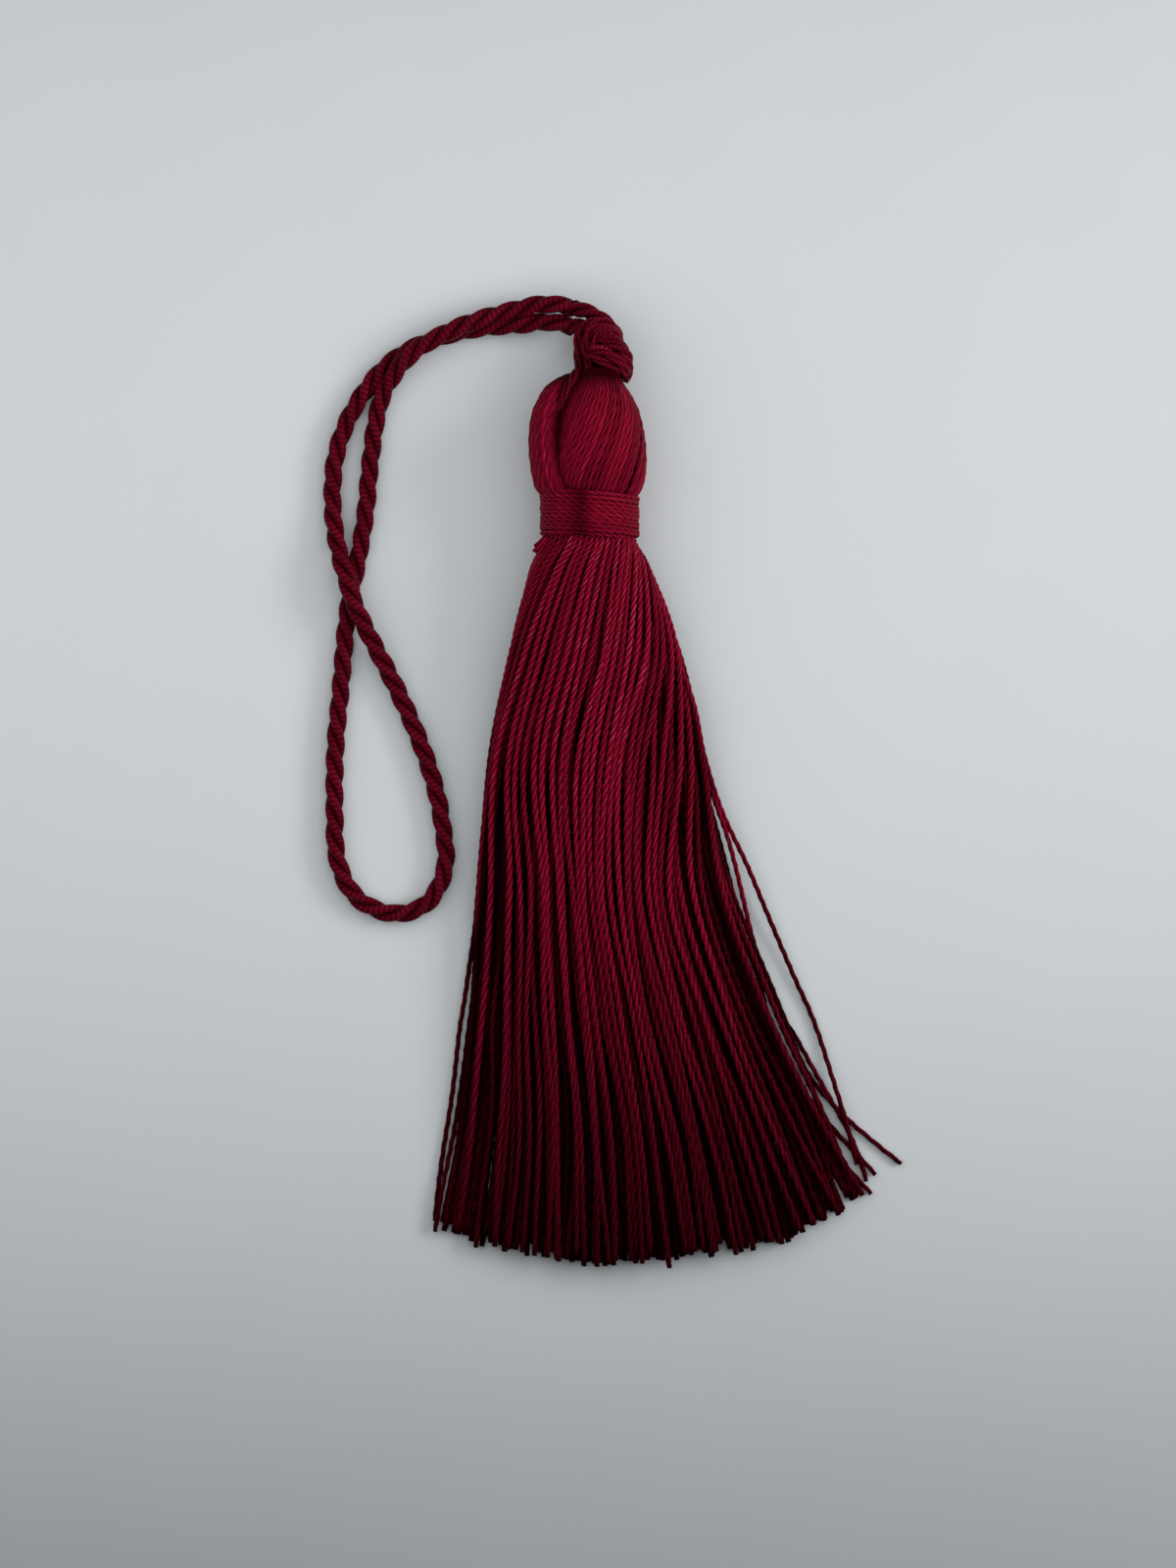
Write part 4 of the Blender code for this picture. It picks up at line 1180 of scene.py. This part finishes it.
class TASSEL_OT_skirt(TasselOperator, Operator):
    """Add the skirt: every plied thread from the neck to its cut end."""

    bl_idname = "tassel.skirt"
    bl_label = "Skirt Threads"

    def execute(self, context):
        chance = np.random.default_rng(SKIRT_SEED)
        sizes = self.sizes
        lines = skirt_lines(sizes.wander / MM, chance)
        first, last = sizes.lay_at_neck / MM, sizes.lay_at_tips / MM
        longest = max(arc_lengths(line)[-1] for line in lines)
        steps = math.ceil(lay_turns(np.array([longest]), first, last)[-1] * SKIRT_STEPS_PER_TURN)
        laid = []
        for line in lines:
            along = arc_lengths(line)
            fine = np.linspace(0, along[-1], 2000)
            turns = lay_turns(fine, first, last)
            marks = np.interp(np.linspace(0, turns[-1], steps), turns, fine) / along[-1]
            path, length = spaced(line, marks)
            laid.append((path, length, 2 * np.pi * (np.linspace(0, turns[-1], steps) + chance.random())))
        paths, lengths, twists = stacked(laid)

        own = chance.uniform(*THREAD_WIDTHS, len(lines))
        own[:len(LOOSE_ENDS)] = LOOSE_WIDTH_SHARE
        widths = own[:, None] * sizes.thread_width / MM * (
            NECK_WIDTH_SHARE + WIDTH_GROWTH * np.clip(lengths / FULL_WIDTH_AFTER, 0, 1))
        widths[:, -1] *= TIP_WIDTH_SHARE
        rings = tube_rings(paths, three_ply_outline(), widths, twists)
        # Painted shade: darker deep in the skirt, towards the cut ends, and on each thread's flanks.
        flanks = read_at(paths[..., 1], SKIRT_FLANKS)[..., None]
        shades = skirt_shades(paths)[..., None] * flank_shades(rings, paths, away_from_heart(paths), flanks)
        strands = chance.random(len(lines))
        material = self.silk("skirt_silk", "thread", "thread_dark_fibres_and_shade", 1.6, ridges=0.75)
        for piece in range(SKIRT_PIECES):
            part = slice(piece, None, SKIRT_PIECES)
            made = tubes_object(f"skirt_threads_{piece + 1}", rings[part], lengths[part],
                                strands[part], shades[part])
            finish_piece(made, material, "head_and_skirt")

        self.add_lowest(chance, last, material)
        return {"FINISHED"}

    def add_lowest(self, chance, lay, material):
        """The threads that close the skirt against the table, painted dark as shade."""
        lines = lowest_lines(chance)
        paths, lengths = stacked(spaced(line, np.linspace(0, 1, LOWEST_STEPS)) for line in lines)
        rings = tube_rings(paths, round_outline(LOWEST_SIDES), np.full(lengths.shape, LOWEST_WIDTH),
                           2 * np.pi * lengths / lay)
        made = tubes_object("skirt_lowest_threads", rings, lengths, chance.random(len(lines)),
                            LOWEST_SHADE * flank_shades(rings, paths, away_from_heart(paths)))
        finish_piece(made, material, "head_and_skirt")


def lobe_line(rows, share, sink):
    """A thread folded over a lobe: up its front, over the top and down its back."""
    front_angle = math.acos(np.clip(2 * share - 1, -0.995, 0.995))
    top_turn = rows[-1, 5]
    line = []
    for side in (1, -1):
        half = []
        for y, left, right, middle_z, half_height, turn in rows:
            angle = side * front_angle + math.radians(turn - top_turn)
            reach_x, reach_z = (right - left) / 2 - sink, half_height - sink
            half.append(((left + right) / 2 + reach_x * math.cos(angle), y,
                         max(HEAD_FLOOR, middle_z + reach_z * math.sin(angle))))
        line += half if side == 1 else half[::-1]
    return np.array(line)


class TASSEL_OT_head(TasselOperator, Operator):
    """Add the head: threads folded over the cord's loop, in a large lobe and a small left one."""

    bl_idname = "tassel.head"
    bl_label = "Head Threads"

    def execute(self, context):
        chance = np.random.default_rng(HEAD_SEED)
        material = self.silk("head_silk", "thread", "thread_dark_fibres_and_shade", 1.6, ridges=0.5)
        groups = (("head_main_lobe", MAIN_LOBE, MAIN_LOBE_GROOVE_SHADE, self.sizes.head_threads),
                  ("head_left_lobe", LEFT_LOBE, LEFT_LOBE_GROOVE_SHADE, self.sizes.left_lobe_threads))
        for name, table, groove, count in groups:
            rows = smooth_rows(table, 8)
            laid = []
            for number in range(count):
                angle = math.pi * (number + 0.5) / count
                share = (1 - math.cos(angle)) / 2
                line = lobe_line(rows, share, HEAD_SINK + HEAD_SINK_SCATTER * chance.random())
                path, length = spaced(smooth_rows(line[::4], 4), np.linspace(0, 1, HEAD_STEPS))
                laid.append((path, length, 2 * np.pi * (length / HEAD_LAY + chance.random())))
            paths, lengths, twists = stacked(laid)
            levels = paths[..., 1]
            left, right, middle_z, half_height = read_rows(rows, levels)
            girth = right - left + 2 * half_height
            widths = HEAD_THREAD_WIDTH * chance.uniform(*HEAD_WIDTHS, count)[:, None]
            widths = widths * np.maximum(NARROWEST_SHARE, girth / girth.max())
            rings = tube_rings(paths, three_ply_outline(), widths, twists, (0, 0.3, 1))
            outward = paths - np.stack(((left + right) / 2, levels, middle_z), axis=-1)
            across = (paths[..., 0] - left) / (right - left)
            # Painted shade: the whole head a little darker, a painted shadow under the knot, and painted
            # shade towards the groove and on the threads' flanks.
            shades = HEAD_SHADE * (1 - KNOT_SHADOW_SHARE * np.interp(levels, KNOT_SHADOW, (0, 1)))
            shades = (shades * np.interp(across, *groove))[..., None]
            shades = shades * flank_shades(rings, paths, outward, HEAD_FLANKS)
            made = tubes_object(name, rings, lengths, chance.random(count), shades)
            finish_piece(made, material, "head_and_skirt")
            self.add_core(name + "_core", rows, material)
        return {"FINISHED"}

    def add_core(self, name, rows, material):
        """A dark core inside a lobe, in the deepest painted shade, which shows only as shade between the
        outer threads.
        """
        rings = []
        angles = 2 * np.pi * np.arange(CORE_SIDES) / CORE_SIDES
        for y, left, right, middle_z, half_height, _ in rows[::4]:
            reach_x = CORE_SHARE * (right - left - 2 * CORE_INSET) / 2
            reach_z = CORE_SHARE * (half_height - CORE_INSET)
            rings.append(np.column_stack((
                (left + right) / 2 + reach_x * np.cos(angles),
                np.full(CORE_SIDES, y * CORE_LENGTH_SHARE),
                np.maximum(CORE_FLOOR, middle_z + reach_z * np.sin(angles)))))
        rings = np.array(rings)[None, :, ::-1]
        lengths = np.broadcast_to(rows[::4, 0], rings.shape[:2])
        made = tubes_object(name, rings, lengths, np.array((0.0,)), DEEPEST_SHADE)
        finish_piece(made, material, "head_and_skirt")


def wavering(share, count, size, chance):
    """A smooth random swing with so many bends along the whole line."""
    return np.interp(share * count, np.arange(count + 1), chance.normal(0, size, count + 1))


class TASSEL_OT_band(TasselOperator, Operator):
    """Add the thread wound round the neck, and its cut end."""

    bl_idname = "tassel.band"
    bl_label = "Neck Band"

    def execute(self, context):
        chance = np.random.default_rng(BAND_SEED)
        turns = self.sizes.band_turns
        steps = turns * BAND_STEPS_PER_TURN + 1
        share = np.linspace(0, 1, steps)
        angle = -2 * np.pi * turns * share
        thread = BAND_LENGTH / turns
        waver = wavering(share, 4 * turns, BAND_WAVER, chance)
        lift = wavering(share, 3 * turns, BAND_LIFT, chance) - BAND_WAIST * np.sin(np.pi * share)
        lift -= BAND_TUCK * np.clip(1 - 2 * turns * np.minimum(share, 1 - share), 0, 1)
        x = BAND_CENTER_X + (BAND_HALF_WIDTH + lift) * np.cos(angle)
        z = NECK.center_z + (BAND_HALF_HEIGHT + lift) * np.sin(angle)
        y = (BAND_LENGTH - thread) * (0.5 - share) + waver + BAND_SLOPE * x
        line = np.column_stack((x, y, np.maximum(z, BAND_FLOOR * thread)))
        path, length = spaced(line, share)
        paths, lengths = path[None], length[None]
        twists = 2 * np.pi * lengths / BAND_LAY
        widths = np.full(lengths.shape, BAND_THREAD_WIDTH * thread)
        rings = tube_rings(paths, three_ply_outline(), widths, twists, (1, 0, 0))
        # A painted dark reflection on the crest, a tone that differs at random from turn to turn, and painted
        # shade on the flanks.
        shades = 1 - BAND_DARK_REFLECTION_SHARE * np.exp(-((paths[..., 0] - BAND_DARK_REFLECTION_X) / BAND_DARK_REFLECTION_REACH) ** 2)
        shades *= np.interp(share * turns, np.arange(turns + 1), chance.uniform(*BAND_TURN_SHADES, turns + 1))
        outward = paths - np.array((0, 0, NECK.center_z))
        outward[..., 1] = 0
        material = self.silk("band_silk", "band", "thread_dark_fibres_and_shade", 1.4, ridges=0.6)
        band = tubes_object("neck_band_winding", rings, lengths, np.array((BAND_STRAND,)),
                            shades[..., None] * flank_shades(rings, paths, outward))
        finish_piece(band, material, "binding_band")
        self.add_cut_end(chance, material)
        return {"FINISHED"}

    def add_cut_end(self, chance, material):
        """The frayed fibres at the end of the wound thread."""
        root, tip = np.array(BAND_END_ROOT), np.array(BAND_END_TIP)
        ends = []
        for _ in range(BAND_END_FIBRES):
            spread = chance.normal(0, 1, 3) * np.array(BAND_END_SPREAD)
            start = root + BAND_END_ROOT_SHARE * spread
            middle = (root + tip) / 2 + BAND_END_MIDDLE_SHARE * spread
            ends.append(smooth_rows([start, middle, tip + spread], 6))
        paths = np.array(ends)
        lengths = np.array([arc_lengths(line) for line in ends])
        widths = np.full(lengths.shape, BAND_FIBRE_WIDTH)
        rings = tube_rings(paths, round_outline(BAND_FIBRE_SIDES), widths, np.zeros(lengths.shape))
        end = tubes_object("neck_band_cut_end", rings, lengths, chance.random(BAND_END_FIBRES))
        finish_piece(end, material, "binding_end")


def knot_wraps():
    """The cord's rounds about the knot's core, open towards the head."""
    middle_x, middle_y, _ = KNOT_CORE_CENTER
    wraps = []
    for wrap in KNOT_WRAPS:
        angles = np.radians(np.linspace(*KNOT_WRAP_ARC, 12))
        points = [(middle_x + wrap.reach * math.cos(angle), middle_y + wrap.reach * math.sin(angle),
                   wrap.z + KNOT_WRAP_SWAY * math.sin(2 * angle)) for angle in angles]
        wraps.append(KnotRun(KNOT_WRAP_RADIUS, points))
    return tuple(wraps)


def neck_strands():
    """The cord's strands between the knot and the head, painted in the deepest shade."""
    strands = []
    for number in range(KNOT_NECK_STRANDS):
        x = KNOT_NECK_SPACING * number + KNOT_NECK_START
        points = [(x, y, z) for y, z in KNOT_NECK_FALL]
        strands.append(KnotRun(KNOT_NECK_RADIUS, points))
    return tuple(strands)


class TASSEL_OT_knot(TasselOperator, Operator):
    """Add the knot of the doubled cord above the head."""

    bl_idname = "tassel.knot"
    bl_label = "Knot"

    def execute(self, context):
        material = self.silk("knot_silk", "cord", "cord_dark_fibres_and_shade", 2.4, yarn_spacing=0.5, yarn_depth=0.5)
        parts = []
        heart = np.array(KNOT_CORE_CENTER)
        runs = KNOT_RUNS + knot_wraps()
        for number, run in enumerate(runs + neck_strands()):
            path, _ = spaced(smooth_rows(run.points, 16), np.linspace(0, 1, KNOT_STEPS))
            rings, lines, lengths = ply_tubes(path, KNOT_PLY_REACH * run.radius,
                                              KNOT_PLY_WIDTH * run.radius, KNOT_PITCH, number)
            # Painted shade: the runs a little darker, the neck strands in the deepest shade, and all darker
            # on their flanks.
            shade = KNOT_SHADE if number < len(runs) else DEEPEST_SHADE
            outward = lines - path + HEART_SHARE * (lines - heart)
            parts.append((rings, lengths, shade * flank_shades(rings, lines, outward, KNOT_FLANKS)))
        rings, lengths, shades = (np.concatenate(column) for column in zip(*parts))
        chance = np.random.default_rng(KNOT_SEED)
        knot = tubes_object("knot_runs", rings, lengths, chance.random(len(rings)), shades)
        finish_piece(knot, material, "knot")
        self.add_core(material)
        return {"FINISHED"}

    def add_core(self, material):
        """The knot's tight heart, which has no "shade" attribute and so takes the deepest painted shade,
        showing only as shade between its runs.
        """
        bpy.ops.object.select_all(action="DESELECT")
        bpy.ops.mesh.primitive_uv_sphere_add(segments=24, ring_count=14, radius=1,
                                             location=Vector(KNOT_CORE_CENTER) * MM,
                                             scale=Vector(KNOT_CORE_RADII) * MM)
        core = bpy.context.object
        core.name = "knot_core"
        bpy.ops.object.transform_apply(location=True, rotation=True, scale=True)
        core.data.uv_layers[0].name = "lay"
        finish_piece(core, material, "knot")


class TASSEL_PT_sidebar(Panel):
    """Lists the tassel's pieces, sizes and colours."""

    bl_label = "Thread Tassel"
    bl_idname = "TASSEL_PT_sidebar"
    bl_space_type = "VIEW_3D"
    bl_region_type = "UI"
    bl_category = "Tassel"

    def draw(self, context):
        for operator in OPERATORS:
            self.layout.operator(operator.bl_idname)
        for settings in (context.scene.tassel_sizes, context.scene.tassel_colours):
            box = self.layout.box()
            for name in settings.__annotations__:
                box.prop(settings, name)


OPERATORS = (TASSEL_OT_stage, TASSEL_OT_hanging_cord, TASSEL_OT_skirt, TASSEL_OT_head,
             TASSEL_OT_band, TASSEL_OT_knot)
CLASSES = (TasselSizes, TasselColours) + OPERATORS + (TASSEL_PT_sidebar,)


def register():
    for item in CLASSES:
        bpy.utils.register_class(item)
    bpy.types.Scene.tassel_sizes = PointerProperty(type=TasselSizes)
    bpy.types.Scene.tassel_colours = PointerProperty(type=TasselColours)


def unregister():
    del bpy.types.Scene.tassel_colours
    del bpy.types.Scene.tassel_sizes
    for item in reversed(CLASSES):
        bpy.utils.unregister_class(item)


def main():
    register()
    bpy.ops.tassel.stage()
    bpy.ops.tassel.hanging_cord()
    bpy.ops.tassel.skirt()
    bpy.ops.tassel.head()
    bpy.ops.tassel.band()
    bpy.ops.tassel.knot()


if __name__ == "__main__":
    main()
